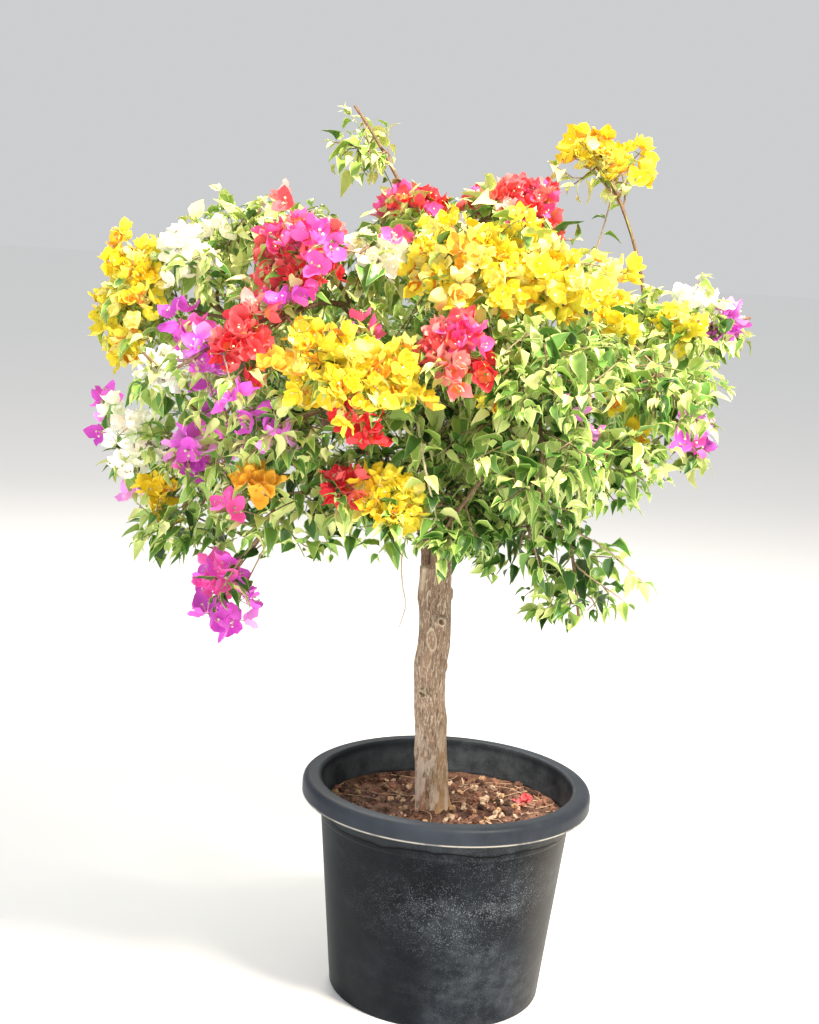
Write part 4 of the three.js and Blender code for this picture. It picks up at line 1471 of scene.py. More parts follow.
@dataclass(frozen=True)
class BladeShape:
    """An ovate blade of unit length that lies along +X and faces +Z.

    base and tip are the powers that round its base and draw out its tip. foot is how many steps from the base
    take the tone of a bract's foot, lit says whether one half takes a lighter tone, painted light as on a folded
    leaf whose one half faces the light, and its margin field is the share of the half width that its margin takes,
    which is painted in a lighter tone still as a highlight.
    """

    width: float = 0.52
    base: float = 0.62
    tip: float = 1.2
    fold: float = 0.48
    droop: float = 0.3
    arch: float = 0.07
    wave: float = 0.045
    stalk: float = 0.13
    stalk_half: float = 0.01
    foot: int = 0
    stations: tuple[float, ...] = (0.0, 0.12, 0.34, 0.6, 0.84, 1.0)
    lit: bool = False
    lit_margin: float = 0.0

    def form(self, rng: Chances) -> Form:
        """One blade with its own curl.

        Args:
            rng: the source of the curl's chances.

        Returns:
            The blade, with a narrow stalk where the shape has one.
        """
        t = np.array(self.stations)
        peak = self.base / (self.base + self.tip)
        half = t**self.base * (1 - t) ** self.tip / (peak**self.base * (1 - peak) ** self.tip) * self.width / 2
        fold = self.fold * rng.uniform(0.5, 1.5)
        droop = self.droop * rng.uniform(0.2, 1.9)
        arch = self.arch * rng.uniform(0.4, 1.6)
        twist = rng.uniform(-0.3, 0.3)
        bend = rng.uniform(-0.07, 0.07)
        x = self.stalk + (1 - self.stalk) * t
        z = arch * np.sin(np.pi * t) - droop * t**2
        y = bend * np.sin(np.pi * t)
        n = len(t)
        points = [np.stack([x, y, z], axis=-1)]
        faces: list[Rows] = []
        part: list[Rows] = []
        steps = np.arange(n - 1)
        count = n
        for sign in (1, -1):
            ripple = self.wave * np.sin(t * rng.uniform(9, 15) + rng.uniform(0, 6))
            # One half may take the lit tone: painted light on a folded leaf.
            own = Part.LIT if self.lit and sign < 0 else Part.OWN
            inner = np.arange(n)
            # The margin strip takes a lighter tone: a painted highlight.
            bounds = [(1 - self.lit_margin, own), (1.0, Part.LIT_MARGIN)][: 2 if self.lit_margin else 1]
            for share, kind in bounds:
                rise = fold * half * share + (ripple + sign * twist * half * t) * share
                points.append(np.stack([x, y + sign * half * share, z + rise], axis=-1)[1:-1])
                outer = np.concatenate([[0], count + np.arange(n - 2), [n - 1]])
                count += n - 2
                strip = np.stack([inner[:-1], inner[1:], outer[1:], outer[:-1]], axis=-1)
                strip = strip if sign > 0 else strip[:, ::-1]
                pairs = halves(strip)
                whole = np.all(pairs != np.roll(pairs, 1, axis=1), axis=1)
                kinds = np.where(np.repeat(steps, 2) < self.foot, Part.FOOT.value, kind.value)
                faces.append(pairs[whole])
                part.append(kinds[whole])
                inner = outer
        if self.stalk > 0:
            sides = (self.stalk_half, -self.stalk_half)
            points.append(np.array([[x0, y0, 0] for x0 in (0, self.stalk) for y0 in sides]))
            faces.append(np.array([[0, 1, 3], [0, 3, 2]]) + count)
            part.append(np.full(2, Part.OWN.value))
        return Form(np.vstack(points), np.vstack(faces), np.concatenate(part).astype(np.int32))


@dataclass(frozen=True)
class BloomShape:
    """A bloom along +X: papery bracts round slender flower tubes, of unit bract length.

    lift is how far a bract of the first three stands up, in degrees, and tier how much more each next three do.
    """

    bracts: int = 3
    lift: float = 50.0
    tier: float = 14.0
    scatter: float = 13.0
    tubes: int = 2
    blade: BladeShape = BladeShape(
        0.8, 0.6, 0.86, 0.4, 0.0, -0.14, 0.075, stalk=0.0, stations=(0.0, 0.13, 0.36, 0.62, 0.86, 1.0)
    )

    def form(self, rng: Chances) -> Form:
        """One bloom.

        Args:
            rng: the source of its chances.

        Returns:
            The bloom.
        """
        forms = []
        for k in range(self.bracts):
            blade = self.blade.form(rng)
            around = TURN * k / 3 + (k // 3) * 0.9 + rng.uniform(-0.25, 0.25)
            lift = math.radians(self.lift + self.tier * (k // 3) + rng.uniform(-self.scatter, self.scatter))
            out = np.array([0, math.cos(around), math.sin(around)])
            lead = out * math.cos(lift) + np.array([math.sin(lift), 0, 0])
            face = np.array([math.cos(lift), 0, 0]) - out * math.sin(lift)
            size = rng.uniform(0.78, 1.1) * (1 - 0.1 * (k // 3))
            forms.append(blade.placed(size, lead, face, out * 0.05))
        for k in range(self.tubes):
            around = TURN * k / self.tubes + rng.uniform(0, 1)
            out = np.array([0, math.cos(around), math.sin(around)])
            lead = unit(np.array([1.0, 0, 0]) + out * rng.uniform(0.15, 0.4))
            forms.append(self.tube(rng.uniform(0.45, 0.62)).placed(1.0, lead, out, out * 0.03))
        return Form.joined(forms)

    @staticmethod
    def tube(length: float) -> Form:
        """A slender flower tube with a small open star at its end."""
        sides = 4
        rings = circles(np.array([0.02, 0.03, 0.085]), np.array([0.0, 0.9, 1.0]) * length, sides)
        rows = np.vstack([rings.reshape(-1, 3), [[0, 0, 0.93 * length]]])[:, [2, 0, 1]]
        faces = np.vstack([halves(walls(3, sides)), fan(3 * sides, 2 * sides, sides)])
        return Form(rows, faces, np.full(len(faces), Part.TUBE.value, np.int32))


class Bank:
    """Copies of one kind of form, gathered while the crown grows."""

    foot_tone = 4
    tube_tone = 5
    lightest = 5

    def __init__(self, forms: Sequence[Form]) -> None:
        """Starts empty, with variants that are dealt out in turn."""
        self.forms = forms
        self.rows: list[tuple[Rows, Rows, Rows, float, int]] = []

    def put(self, place: Rows, lead: Rows, face: Rows, size: float, tone: int) -> None:
        """Notes one copy."""
        self.rows.append((place, lead, face, size, tone))

    def stamp(self, mesh: Mesh, keep: Callable[[Rows], bool] = lambda place: True) -> None:
        """Adds the copies to a mesh.

        Args:
            mesh: what they are added to.
            keep: says by its place whether a copy is added.
        """
        rows = [row for row in self.rows if keep(row[0])]
        place = np.array([row[0] for row in rows])
        turn = frames(np.array([row[1] for row in rows]), np.array([row[2] for row in rows]))
        size = np.array([row[3] for row in rows])
        tone = np.array([row[4] for row in rows])
        for k, form in enumerate(self.forms):
            pick = slice(k, None, len(self.forms))
            points = np.einsum("pj,njk->npk", form.points, turn[pick]) * size[pick][:, None, None]
            points = points + place[pick][:, None, :]
            faces = form.faces[None] + (np.arange(len(points)) * len(form.points))[:, None, None]
            tones = np.repeat(tone[pick][:, None], len(form.faces), axis=1)
            part = form.part[None]
            tones = np.where(part == Part.TUBE.value, self.tube_tone, tones)
            tones = np.where(part == Part.FOOT.value, self.foot_tone, tones)
            # Painted light: the half of a folded leaf that faces the light, one tone lighter.
            tones = np.where(part == Part.LIT.value, np.minimum(tones + 1, self.lightest), tones)
            # Painted highlight: the margin two tones lighter.
            tones = np.where(part == Part.LIT_MARGIN.value, np.minimum(tones + 2, self.lightest), tones)
            mesh.add(points.reshape(-1, 3), [faces.reshape(-1, 3)], tones.ravel())


@dataclass(frozen=True)
class Growth:
    """How a mass grows, how its blooms stand and what its seeds are; twigs are given by their radii."""

    twigs: float = 19.0
    twigs_among_bracts: float = 11.0
    girth: float = 75.0
    entry: float = 0.2
    last: float = 0.97
    short_of_edge: float = 14.0
    shortest: float = 12.0
    side_twigs: int = 2
    leaf_gap: float = 13.0
    leaf_length: tuple[float, float] = (37.0, 54.0)
    head_gap: float = 37.0
    head_reach: float = 29.0
    heads_share: float = 2.2
    strays: float = 0.24
    sprouts_from: float = 0.34
    sprout_gap: float = 20.0
    sprout_length: tuple[float, float] = (80.0, 175.0)
    spray_area: float = 380.0
    behind_heads: float = 0.5
    head_radius: tuple[float, float] = (5.0, 16.0)
    stem: float = 3.1
    stem_tip: float = 2.2
    twig: float = 1.6
    twig_tip: float = 0.75
    stalk: tuple[float, float] = (0.7, 0.6)
    spray_stem: tuple[float, float] = (1.5, 0.8)
    spray_twig: tuple[float, float] = (0.9, 0.7)
    tangle_twig: tuple[float, float] = (1.1, 0.6)
    shoot_tip: float = 0.7
    behind: float = -0.4
    skipped: float = 0.12
    first_seed: int = 1000
    seed_step: int = 77
    loose_seed: int = 5


@dataclass(frozen=True)
class Colour:
    """One colour of bracts: its slot, its tones and how its heads are made up."""

    slot: Slot
    tones: Sequence[Blade]
    shapes: Sequence[BloomShape]
    blooms: int
    bract_length: tuple[float, float]


BARE = 2.0


@dataclass(frozen=True)
class Shoot:
    """A lone shoot that shows against the sky or hangs free: its line, its stem and its leaves.

    leaf_from is the share of its length from which it has leaves, and past its end if it has none.
    """

    points: tuple[Triple, ...]
    radius: float
    leaf_from: float = BARE
    leaf_gap: float = 20.0
    leaf_size: float = 30.0
    young: float = 0.0
    wood: Wood = Wood.TAN


SHOOTS = (
    # The tall one at the top left and the two that arch at the top right and at the far left
    Shoot(
        (
            (-60, -60, 1050), (-78, -60, 1121), (-105, -55, 1181),
            (-126, -52, 1214), (-148, -50, 1259), (-203, -50, 1340),
        ),
        1.3, 0.1, 12, 34, 0.8, Wood.GREEN,
    ),
    Shoot(((120, -60, 1060), (148, -60, 1123), (177, -50, 1251), (158, -45, 1293)), 1.8, 0.15, 22, 36, 0.5),
    Shoot(((-332, -60, 1078), (-400, -55, 1068), (-453, -50, 1040), (-507, -55, 1006)), 2, 0.1, 18, 44, 0.7),
    # Those that hang in front and at the right
    Shoot(
        ((-73, -330, 945), (-56, -350, 876), (-38, -352, 816), (-26, -348, 757)), 2.2, 0.04, 10, 44, 0.5, Wood.PALE
    ),
    Shoot(((45, -200, 849), (84, -195, 790), (119, -185, 715), (139, -180, 679)), 1.8, 0.3, 15, 42, 0.75),
    Shoot(((106, -260, 814), (192, -260, 775), (250, -240, 728)), 1.8, 0.2, 16, 46, 0.4),
    # Bare ones under the crown
    Shoot(((-78, -250, 778), (-84, -252, 736), (-79, -250, 693), (-74, -250, 672), (-81, -250, 640)), 1.1),
    Shoot(((-190, -250, 854), (-182, -252, 813), (-186, -250, 785), (-178, -250, 765)), 1.0, wood=Wood.BROWN),
    Shoot(((86, -230, 800), (78, -232, 760), (88, -230, 715)), 1.0),
)


@dataclass(frozen=True)
class Spray:
    """A small spray of bracts: its colour, its place, its half extents and its one tone, if it has one."""

    kind: str
    place: Triple
    size: tuple[float, float]
    tone: int | None = None


SPRAYS = tuple(
    Spray(*row)
    for row in (
        ("magenta", (-545, -60, 905), (16, 16)),
        ("magenta", (-540, -60, 865), (15, 13)),
        ("magenta", (-400, -200, 1030), (35, 31)),
        ("magenta", (-320, -300, 800), (16, 23)),
        ("magenta", (-260, -350, 905), (30, 30)),
        ("yellow", (-435, -170, 790), (34, 29), 2),
        ("yellow", (-275, -330, 835), (31, 20), 3),
        ("yellow", (-215, -330, 1030), (33, 33), 0),
        ("red", (-155, -330, 1055), (18, 26), 3),
        ("red", (-140, -400, 940), (38, 30), 0),
        ("yellow", (-85, -395, 970), (38, 22), 0),
        ("magenta", (-310, -370, 955), (19, 19), 0),
        ("white", (315, -60, 1100), (41, 26), 0),
        ("yellow", (190, -180, 1065), (31, 21), 0),
        ("yellow", (185, -230, 975), (21, 16), 0),
        ("yellow", (225, -220, 925), (27, 21), 2),
        ("yellow", (20, -340, 965), (10, 10), 0),
        ("magenta", (130, -280, 970), (13, 11), 2),
        ("magenta", (160, -260, 915), (13, 12), 2),
        ("magenta", (-210, -330, 1155), (27, 40), 3),
        ("magenta", (-255, -330, 1080), (22, 18), 0),
        ("red", (-115, -250, 1170), (14, 11), 3),
        ("magenta", (-480, -120, 775), (13, 11), 2),
        ("magenta", (-360, -260, 975), (20, 15), 1),
    )
)


@dataclass(frozen=True)
class Tangle:
    """A knot of crossing twigs: its middle, its half extents and how many twigs and leafy twigs it has."""

    centre: Triple
    half: Triple
    twigs: int
    leafy: int


TANGLES = (
    Tangle((10, -225, 930), (95, 50, 62), 90, 50),
    Tangle((-50, -205, 850), (75, 45, 62), 44, 38),
    Tangle((-150, -200, 830), (70, 50, 60), 30, 26),
    Tangle((90, -200, 850), (70, 50, 60), 30, 26),
    Tangle((-8, -235, 812), (48, 30, 46), 20, 20),
)


PARTING = -110.0
QUARTERS = {"front_left": (-1, -1), "front_right": (1, -1), "back_left": (-1, 1), "back_right": (1, 1)}


class Crown:
    """All the twigs, leaves and blooms, grown on from the limbs."""

    middle = np.array([*CROWN_AXIS, 835.0])
    half = np.array([480.0, 440.0, 400.0])
    slack = 6.0

    def __init__(self, boughs: Boughs, growth: Growth, seed: int) -> None:
        """Sets up empty banks."""
        rng = np.random.default_rng(seed)
        self.growth = growth
        self.boughs = boughs
        self.twigs = Mesh()
        self.leaves = Bank([BladeShape(lit=k % 2 == 1, lit_margin=0.17).form(rng) for k in range(18)])
        loose = BloomShape()
        full = BloomShape(bracts=5, lift=46, scatter=18, tubes=1)
        footed = BloomShape(bracts=5, lift=50, scatter=18, tubes=1, blade=replace(loose.blade, foot=2))
        self.colours = {
            "yellow": Colour(Slot.YELLOW, YELLOW_TONES, (full, footed, full), 6, (20, 28)),
            "red": Colour(Slot.RED, RED_TONES, (full, loose, footed), 6, (20, 28)),
            "magenta": Colour(Slot.MAGENTA, MAGENTA_TONES, (loose,), 4, (24, 33)),
            "white": Colour(Slot.WHITE, WHITE_TONES, (full, loose), 5, (20, 28)),
        }
        self.blooms = {
            kind: Bank([colour.shapes[i % len(colour.shapes)].form(rng) for i in range(12)])
            for kind, colour in self.colours.items()
        }
        low, high = (np.array(corner) / MM for corner in CAD_BOX)
        self.low, self.high = low - self.slack, high + self.slack
        self.stems = self.lay_out_stems()

    def inside(self, points: Rows) -> Rows:
        """Whether each point lies in the object's box."""
        return np.all((points > self.low) & (points < self.high), axis=-1)

    def twig(self, path: Path, radius: float, tip: float, tone: int, sides: int) -> None:
        """Adds one twig's tube."""
        rings = int(np.clip(path.length / 14, 1, 12))
        skin = sweep(path, lambda share, _: radius + (tip - radius) * share, sides, rings)
        self.twigs.add(skin.points, skin.faces, tone)

    def lay_out_stems(self) -> dict[str, Path]:
        """Every mass's stem, from its limb's tip to the far side of the mass."""
        lines = {}
        for limb in LIMBS:
            parent = self.boughs.paths[limb.name]
            own = [mass for mass in MASSES if limb.name == f"limb_{mass.limb}"]
            for mass, foot in zip(own, fork(parent, [mass.centre for mass in own], self.growth.stem)):
                way = unit(mass.centre - foot)
                tip = mass.centre + way * min(mass.size) * 0.75
                arch = float(span(mass.centre - foot)) * 0.1
                path = Path.arching(foot, parent.way(1.0), tip, arch)
                lines[mass.name] = path.led_by(parent.at(1 - 8 / parent.length))
        return lines

    def leaf_tone(self, rng: Chances, light: float) -> int:
        """A leaf's tone, lighter where light is near 1."""
        return int(np.clip(round(rng.normal(0.2 + 3.4 * light, 1.25)), 0, 5))

    def put_leaf(self, room: Room | None, root: Rows, lead: Rows, face: Rows, size: float, tone: int) -> None:
        """Adds a leaf if it fits, smaller if it must be."""
        for share in (1.0, 0.8, 0.62):
            tip = (root + lead * size * share)[None]
            if self.inside(tip)[0] and (room is None or room.holds(tip)[0]):
                self.leaves.put(root, lead, face, size * share, tone)
                return

    def leafy(
        self,
        rng: Chances,
        room: Room | None,
        path: Path,
        start: float,
        gap: float,
        size: float,
        light: float,
        end: float = 1.0,
    ) -> None:
        """Sets leaves along a twig, each turned on from the last, and young ones at its tip.

        Args:
            rng: the source of chances.
            room: what the leaves keep to, if anything.
            path: the twig's line.
            start: the share of the line's length from which it has leaves.
            gap: the distance between two leaves.
            size: a leaf's length.
            light: 0 in the shade and 1 in full light.
            end: the share up to which it has leaves; short of 1 its tip has none.
        """
        count = max(1, int(path.length * (end - start) / gap))
        shift = rng.uniform(0, 6.3)
        for k in range(count):
            share = start + (end - start) * (k + 0.7) / (count + 0.4)
            root, along = path.at(share), path.way(share)
            out = turned(beside(along), along, shift + GOLDEN * k)
            ahead = rng.uniform(0.25, 0.9) * (1 - 0.8 * max(0.0, -along[2]))
            lead = unit(along * ahead + out + UP * rng.uniform(-0.5, 0.35))
            face = unit(UP + out * 0.5 + rng.normal(size=3) * 0.32)
            here = size * rng.uniform(0.72, 1.15) * (1 - 0.2 * share)
            self.put_leaf(room, root, lead, face, here, self.leaf_tone(rng, light + 0.3 * (share - 0.5)))
        tip, along = path.at(1.0), path.way(1.0)
        for _ in range(3 if end == 1.0 else 0):
            lead = unit(along + rng.normal(size=3) * 0.5)
            face = unit(UP + rng.normal(size=3) * 0.4)
            self.put_leaf(room, tip, lead, face, size * rng.uniform(0.4, 0.75), self.leaf_tone(rng, light + 0.35))

    def head(
        self, rng: Chances, kind: str, centre: Rows, outward: Rows, tones: Sequence[float], count: int
    ) -> None:
        """Sets a ruffled head of blooms round a point.

        Args:
            rng: the source of chances.
            kind: its colour.
            centre: where the blooms' stalks part.
            outward: the way that the head faces.
            tones: how its tones are weighed.
            count: the number of blooms.
        """
        colour = self.colours[kind]
        axis = unit(outward * 0.8 + UP * 0.5 + rng.normal(size=3) * 0.2)
        side = beside(axis)
        across = np.cross(axis, side)
        shift = rng.uniform(0, 6.3)
        own = int(rng.choice(4, p=tones))
        for k in range(count):
            tilt = math.acos(max(-1.0, 1 - 1.5 * (k + 0.4) / count))
            around = GOLDEN * k + shift
            ring = side * math.cos(around) + across * math.sin(around)
            way = axis * math.cos(tilt) + ring * math.sin(tilt)
            lead = unit(way * 0.8 + UP * 0.45 + rng.normal(size=3) * 0.22)
            size = rng.uniform(*colour.bract_length)
            spot = centre + way * rng.uniform(*self.growth.head_radius)
            if not self.inside((spot + lead * size * 0.8)[None])[0]:
                continue
            tone = own if rng.random() < 0.7 else int(rng.choice(4, p=tones))
            self.blooms[kind].put(spot, lead, rng.normal(size=3), size, tone)
            self.twig(Path(np.array([centre, spot])), *self.growth.stalk, Wood.GREEN, 3)

    def grow_heads(self, mass: Mass, room: Room, stem: Path, rng: Chances) -> None:
        """Grows the twigs that end in heads of bracts, on the outer side of the mass's core."""
        rule = self.growth
        core = np.maximum(room.size * mass.core - rule.head_reach, 9.0)
        power = 1.6
        pairs = sum((core[i] * core[(i + 1) % 3]) ** power for i in range(3)) / 3
        area = 4 * math.pi * pairs ** (1 / power)  # near the surface of an ellipsoid
        count = max(7, round(area / rule.head_gap**2 * rule.heads_share))
        outward = unit(mass.centre - self.middle)
        shift = rng.uniform(0, TURN)
        for k in range(count):
            aim = spiral(k, count, shift)
            if np.dot(aim, outward) < rule.behind or rng.random() < rule.skipped:
                continue
            root = stem.at(rng.uniform(0.45, 0.95))
            stray = rng.random() < rule.strays
            reach = rng.uniform(1.1, 1.75) if stray else rng.uniform(0.35, 1.1)
            tip = mass.centre + aim * core * reach + rng.normal(size=3) * 6
            for _ in range(6):
                if room.holds(tip[None])[0]:
                    break
                tip = root + (tip - root) * 0.82
            way = unit(tip - root)
            start = unit(way + rng.normal(size=3) * 0.25)
            path = Path.arching(root, start, tip, float(span(tip - root)) * 0.08)
            self.twig(path, rule.twig, rule.twig_tip, int(rng.choice([Wood.BROWN, Wood.TAN, Wood.GREEN])), 4)
            self.leafy(rng, room, path, 0.3, 30, rng.uniform(*rule.leaf_length) * 0.7, self.light_at(tip), 0.75)
            blooms = rng.integers(2, 4) if stray else self.colours[mass.kind].blooms + rng.integers(-2, 2)
            self.head(rng, mass.kind, tip, unit(aim + outward * 0.35), mass.tones, int(blooms))

    def grow(self, mass: Mass, stem: Path, seed: int) -> None:
        """Grows one mass.

        Args:
            mass: the mass.
            stem: its stem's line.
            seed: the seed of its chances.
        """
        rng = np.random.default_rng(seed)
        rule = self.growth
        room = Room(mass)
        self.twig(stem, rule.stem, rule.stem_tip, Wood.BROWN, 8)
        flowering = mass.kind != "leaves"
        outward = unit(mass.centre - self.middle)
        if flowering:
            self.grow_heads(mass, room, stem, rng)
        shift = rng.uniform(0, TURN)
        number = rule.twigs_among_bracts if flowering else rule.twigs
        count = round(number * mass.fullness * (mass.girth / rule.girth) ** 1.5)
        for k in range(count):
            root = stem.at(rule.entry + (rule.last - rule.entry) * (k + 0.5) / count)
            aim = spiral(k, count, shift)
            way = unit(mass.centre + aim * room.size - root)
            length = room.run(root, way) - rule.short_of_edge
            if flowering and np.dot(aim, outward) > -0.1:
                length *= rule.behind_heads
            if length < rule.shortest:
                continue
            main = Path.arching(root, unit(way + rng.normal(size=3) * 0.3), root + way * length, length * 0.08)
            self.dress(rng, room, main, rule.twig)
            for _ in range(rule.side_twigs):
                start = rng.uniform(0.25, 0.75)
                foot, along = main.at(start), main.way(start)
                side = turned(beside(along), along, rng.uniform(0, TURN))
                lead = unit(along * rng.uniform(0.5, 1.0) + side)
                run = min(room.run(foot, lead) - rule.short_of_edge, length * rng.uniform(0.4, 0.75))
                if run > rule.shortest:
                    branch = Path.arching(foot, along, foot + lead * run, run * 0.1)
                    self.dress(rng, room, branch, rule.twig * 0.75)

    def light_at(self, point: Rows) -> float:
        """How much light falls on a place: more high up and far out."""
        away = (point - self.middle) / self.half
        return float(np.clip(0.1 + 0.5 * span(away) + 0.3 * away[2], 0, 1))

    def dress(self, rng: Chances, room: Room | None, path: Path, radius: float) -> None:
        """Adds a leafy twig."""
        rule = self.growth
        wood = rng.choice([Wood.BROWN, Wood.TAN, Wood.GREEN], p=[0.35, 0.25, 0.4])
        self.twig(path, radius, rule.twig_tip, int(wood), 4)
        size = rng.uniform(*rule.leaf_length)
        self.leafy(rng, room, path, 0.2, rule.leaf_gap, size, self.light_at(path.at(1.0)))

    def grow_sprouts(self, path: Path, rng: Chances) -> None:
        """Grows short leafy side twigs along the outer part of a limb."""
        rule = self.growth
        count = int(path.length * (1 - rule.sprouts_from) / rule.sprout_gap)
        for k in range(count):
            share = rule.sprouts_from + (1 - rule.sprouts_from) * (k + 0.5) / count
            foot, along = path.at(share), path.way(share)
            side = turned(beside(along), along, rng.uniform(0, TURN))
            way = unit(side + along * 0.4 + UP * 0.6)
            length = rng.uniform(*rule.sprout_length)
            self.dress(rng, None, Path.arching(foot, side, foot + way * length, 8), rule.twig)
            way = unit(way + rng.normal(size=3) * 0.6)
            self.dress(rng, None, Path.arching(foot + side * 4, side, foot + way * length * 0.7, 6), rule.twig)

    def grow_spray(self, spray: Spray, rng: Chances) -> None:
        """Grows a small spray of bracts from the nearest stem."""
        place = np.array(spray.place, float)
        spots = np.vstack([stem.at(np.linspace(0.2, 1, 12)) for stem in self.stems.values()])
        root = spots[int(np.argmin(span(spots - place, axis=1)))]
        way = unit(place - root)
        path = Path.arching(root, way, place - way * 8, float(span(place - root)) * 0.1)
        self.twig(path, *self.growth.spray_stem, Wood.TAN, 4)
        self.leafy(rng, None, path, 0.4, 22, 44, self.light_at(place))
        width, height = spray.size
        heads = max(1, round(width * height / self.growth.spray_area))
        outward = unit(place - self.middle)
        tones = USUAL_TONES if spray.tone is None else [float(i == spray.tone) for i in range(4)]
        for k in range(heads):
            around = GOLDEN * k
            out = math.sqrt((k + 0.5) / heads) if heads > 1 else 0.0
            across = np.array([math.cos(around), 0.3 * math.sin(3 * around), math.sin(around)])
            centre = place + across * out * np.array([width, 14, height]) * 0.75
            if k:
                self.twig(Path(np.array([path.at(0.8), centre])), *self.growth.spray_twig, Wood.GREEN, 3)
            blooms = 3 if heads == 1 else self.colours[spray.kind].blooms - 1
            self.head(rng, spray.kind, centre, outward, tones, blooms)

    def grow_tangle(self, tangle: Tangle, rng: Chances) -> None:
        """Adds crossing twigs that show inside the crown, some of them leafy."""
        centre, half = np.array(tangle.centre), np.array(tangle.half)
        for k in range(tangle.twigs):
            ends = centre + rng.uniform(-1, 1, (2, 3)) * half
            middle = ends.mean(axis=0) + rng.normal(size=3) * 18
            path = Path.through(np.array([ends[0], middle, ends[1]]), 5)
            self.twig(path, *self.growth.tangle_twig, int(rng.choice([Wood.BROWN, Wood.TAN])), 4)
            if k < tangle.leafy:
                self.leafy(rng, None, path, 0.1, 22, rng.uniform(32, 50), rng.uniform(0.2, 0.8))

    def build(self) -> None:
        """Grows every mass, spray and shoot and makes the joined pieces."""
        rule = self.growth
        for index, mass in enumerate(MASSES):
            self.grow(mass, self.stems[mass.name], rule.first_seed + rule.seed_step * index)
        rng = np.random.default_rng(rule.loose_seed)
        for spray in SPRAYS:
            self.grow_spray(spray, rng)
        for limb in LIMBS:
            self.grow_sprouts(self.boughs.paths[limb.name], rng)
        for tangle in TANGLES:
            self.grow_tangle(tangle, rng)
        for shoot in SHOOTS:
            path = Path.through(np.array(shoot.points, float))
            self.twig(path, shoot.radius, rule.shoot_tip, shoot.wood, 6)
            if shoot.leaf_from < 1:
                light = 0.4 + shoot.young * 0.6
                self.leafy(rng, None, path, shoot.leaf_from, shoot.leaf_gap, shoot.leaf_size, light)
        deliver(self.twigs.make("twigs", [tone.make() for tone in TWIG_TONES]))
        self.make_leaves()
        self.make_blooms()

    def make_leaves(self) -> None:
        """Makes the leaves, parted into the quarters of the crown."""
        tones = [tone.make() for tone in LEAF_TONES]
        for name, (across, deep) in QUARTERS.items():

            def here(place: Rows, across: int = across, deep: int = deep) -> bool:
                """Whether a place lies in this quarter of the crown."""
                return (place[0] - self.middle[0]) * across > 0 and (place[1] - PARTING) * deep > 0

            mesh = Mesh()
            self.leaves.stamp(mesh, here)
            nodes = [mass.name for mass in MASSES if mass.kind == "leaves" and here(mass.centre)]
            deliver(mesh.make(f"foliage_{name}", tones), nodes)

    def make_blooms(self) -> None:
        """Makes the blooms, one piece for each colour."""
        tube = TUBE_TONE.make()
        for kind, colour in self.colours.items():
            mesh = Mesh()
            self.blooms[kind].stamp(mesh)
            made = mesh.make(f"{kind}_bracts", [*(tone.make() for tone in colour.tones), tube])
            deliver(made, [mass.name for mass in MASSES if mass.kind == kind])


# The studio


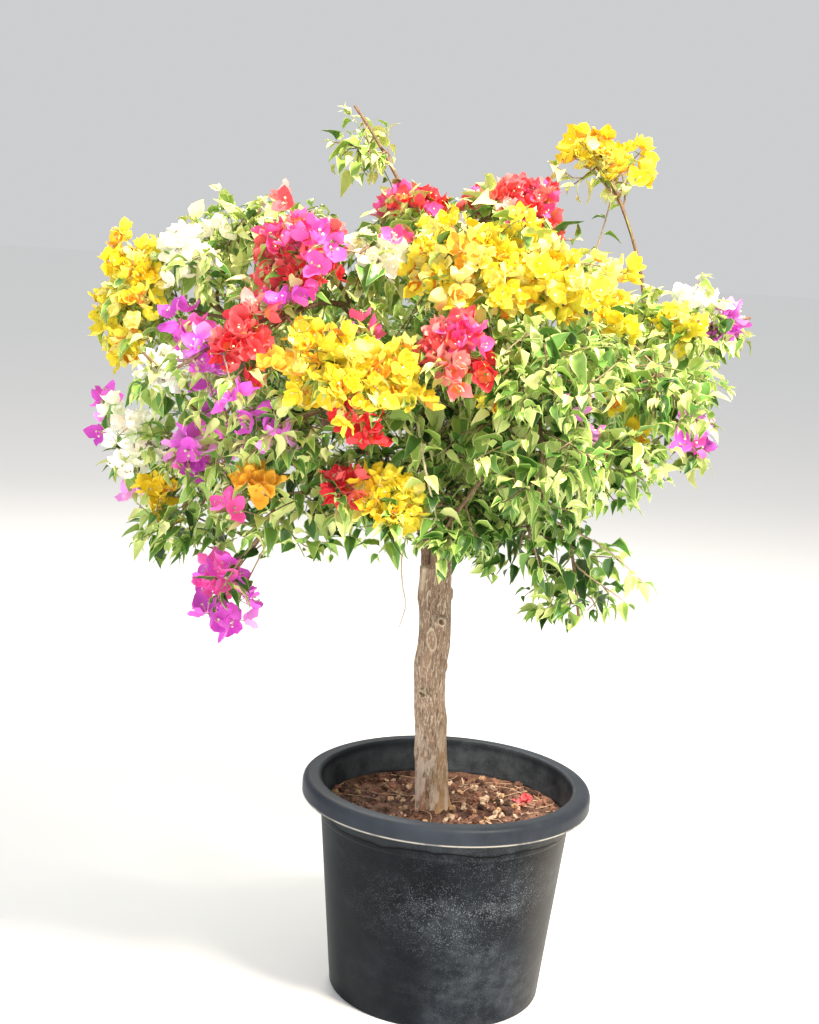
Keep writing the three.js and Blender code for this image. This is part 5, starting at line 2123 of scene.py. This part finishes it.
@dataclass(frozen=True)
class Studio:
    """A pale floor, soft lights and the camera at the picture's angle."""

    focal_px: float = 1700.0
    long_side_px: float = 1024.0
    yaw: float = -1.92
    pitch: float = 10.155
    roll: float = 3.71
    eye: Triple = (0.0, -2554.86, 1216.70)
    floor_tone: str = "fcfcfb"
    floor_patch: str = "e9e6e0"
    floor_half: float = 30000.0
    sky: str = "f7f8fa"
    sky_strength: float = 0.66
    aim: Triple = (0.0, 0.0, 800.0)

    def build(self) -> None:
        """Sets up the camera, the floor, the sky and the lights."""
        self.add_camera()
        self.add_floor()
        self.add_sky()
        self.add_light("key", (1450, -1500, 3500), 900, 270.0, "fff4e2")
        self.add_light("fill", (-2300, -2100, 1500), 1800, 22.0, "f2f6ff")
        self.add_light("rim", (-600, 2600, 2800), 1400, 60.0, "fffaf0")

    def add_camera(self) -> None:
        """Stands the camera at the picture's eye."""
        yaw, pitch, roll = (math.radians(a) for a in (self.yaw, self.pitch, self.roll))
        ahead = np.array([math.sin(yaw) * math.cos(pitch), math.cos(yaw) * math.cos(pitch), -math.sin(pitch)])
        level = np.array([math.cos(yaw), -math.sin(yaw), 0.0])
        above = np.cross(level, ahead)
        right = level * math.cos(roll) + above * math.sin(roll)
        top = -level * math.sin(roll) + above * math.cos(roll)
        lens = bpy.data.cameras.new("camera")
        lens.sensor_width = 36.0
        lens.lens = 36.0 * self.focal_px / self.long_side_px
        lens.dof.use_dof = False
        lens.clip_end = 100.0
        bpy.context.scene.camera = self.stand("camera", lens, right, top, -ahead, self.eye)

    @staticmethod
    def stand(name: str, data: bpy.types.ID, right: Rows, top: Rows, back: Rows, spot: Triple) -> bpy.types.Object:
        """Stands a camera or a lamp at a spot, turned so that its own axes have these directions."""
        made = bpy.data.objects.new(name, data)
        bpy.context.scene.collection.objects.link(made)
        rows = np.column_stack([right, top, back, np.array(spot, float) * MM])
        made.matrix_world = Matrix([*rows.tolist(), [0.0, 0.0, 0.0, 1.0]])
        return made

    def add_floor(self) -> None:
        """Lays a wide pale floor."""
        graph = Graph("floor", self.floor_tone)
        graph.coat(graph.noise(3.0, 3.0) * 0.1, self.floor_patch)
        half = self.floor_half
        mesh = Mesh()
        corners = np.array([[-half, -half, 0], [half, -half, 0], [half, half, 0], [-half, half, 0]])
        mesh.add(corners, [np.array([[0, 1, 2, 3]])])
        mesh.make("floor", [graph.surface(Roughness=0.85)], smooth=False)

    def add_sky(self) -> None:
        """Fills the surroundings with soft pale light."""
        world = bpy.data.worlds.new("sky")
        world.use_nodes = True
        back = world.node_tree.nodes["Background"]
        back.inputs["Color"].default_value = linear(self.sky)
        back.inputs["Strength"].default_value = self.sky_strength
        bpy.context.scene.world = world

    def add_light(self, name: str, spot: Triple, size: float, power: float, tone: str) -> None:
        """Hangs one soft light that looks at the crown."""
        lamp = bpy.data.lights.new(name, "AREA")
        lamp.shape = "DISK"
        lamp.size = size * MM
        lamp.energy = power
        lamp.color = linear(tone)[:3]
        back = unit(np.array(spot, float) - np.array(self.aim))
        right = unit(np.cross(UP, back))
        self.stand(name, lamp, right, np.cross(back, right), back, spot)


def note_size() -> None:
    """Brings the view layer up to date."""
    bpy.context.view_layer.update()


def main() -> None:
    """Builds the pot, the soil, the trunk, the boughs, the crown and the studio."""
    logging.basicConfig(level=logging.INFO, format="%(name)s %(message)s")
    Pot().build()
    SoilBed().build()
    Trunk().build(TRUNK_BARK.make())
    boughs = Boughs()
    boughs.build(BOUGH_BARK.make())
    Crown(boughs, Growth(), 7).build()
    Studio().build()
    bpy.context.scene.view_settings.view_transform = "Standard"
    note_size()


if __name__ == "__main__":
    main()
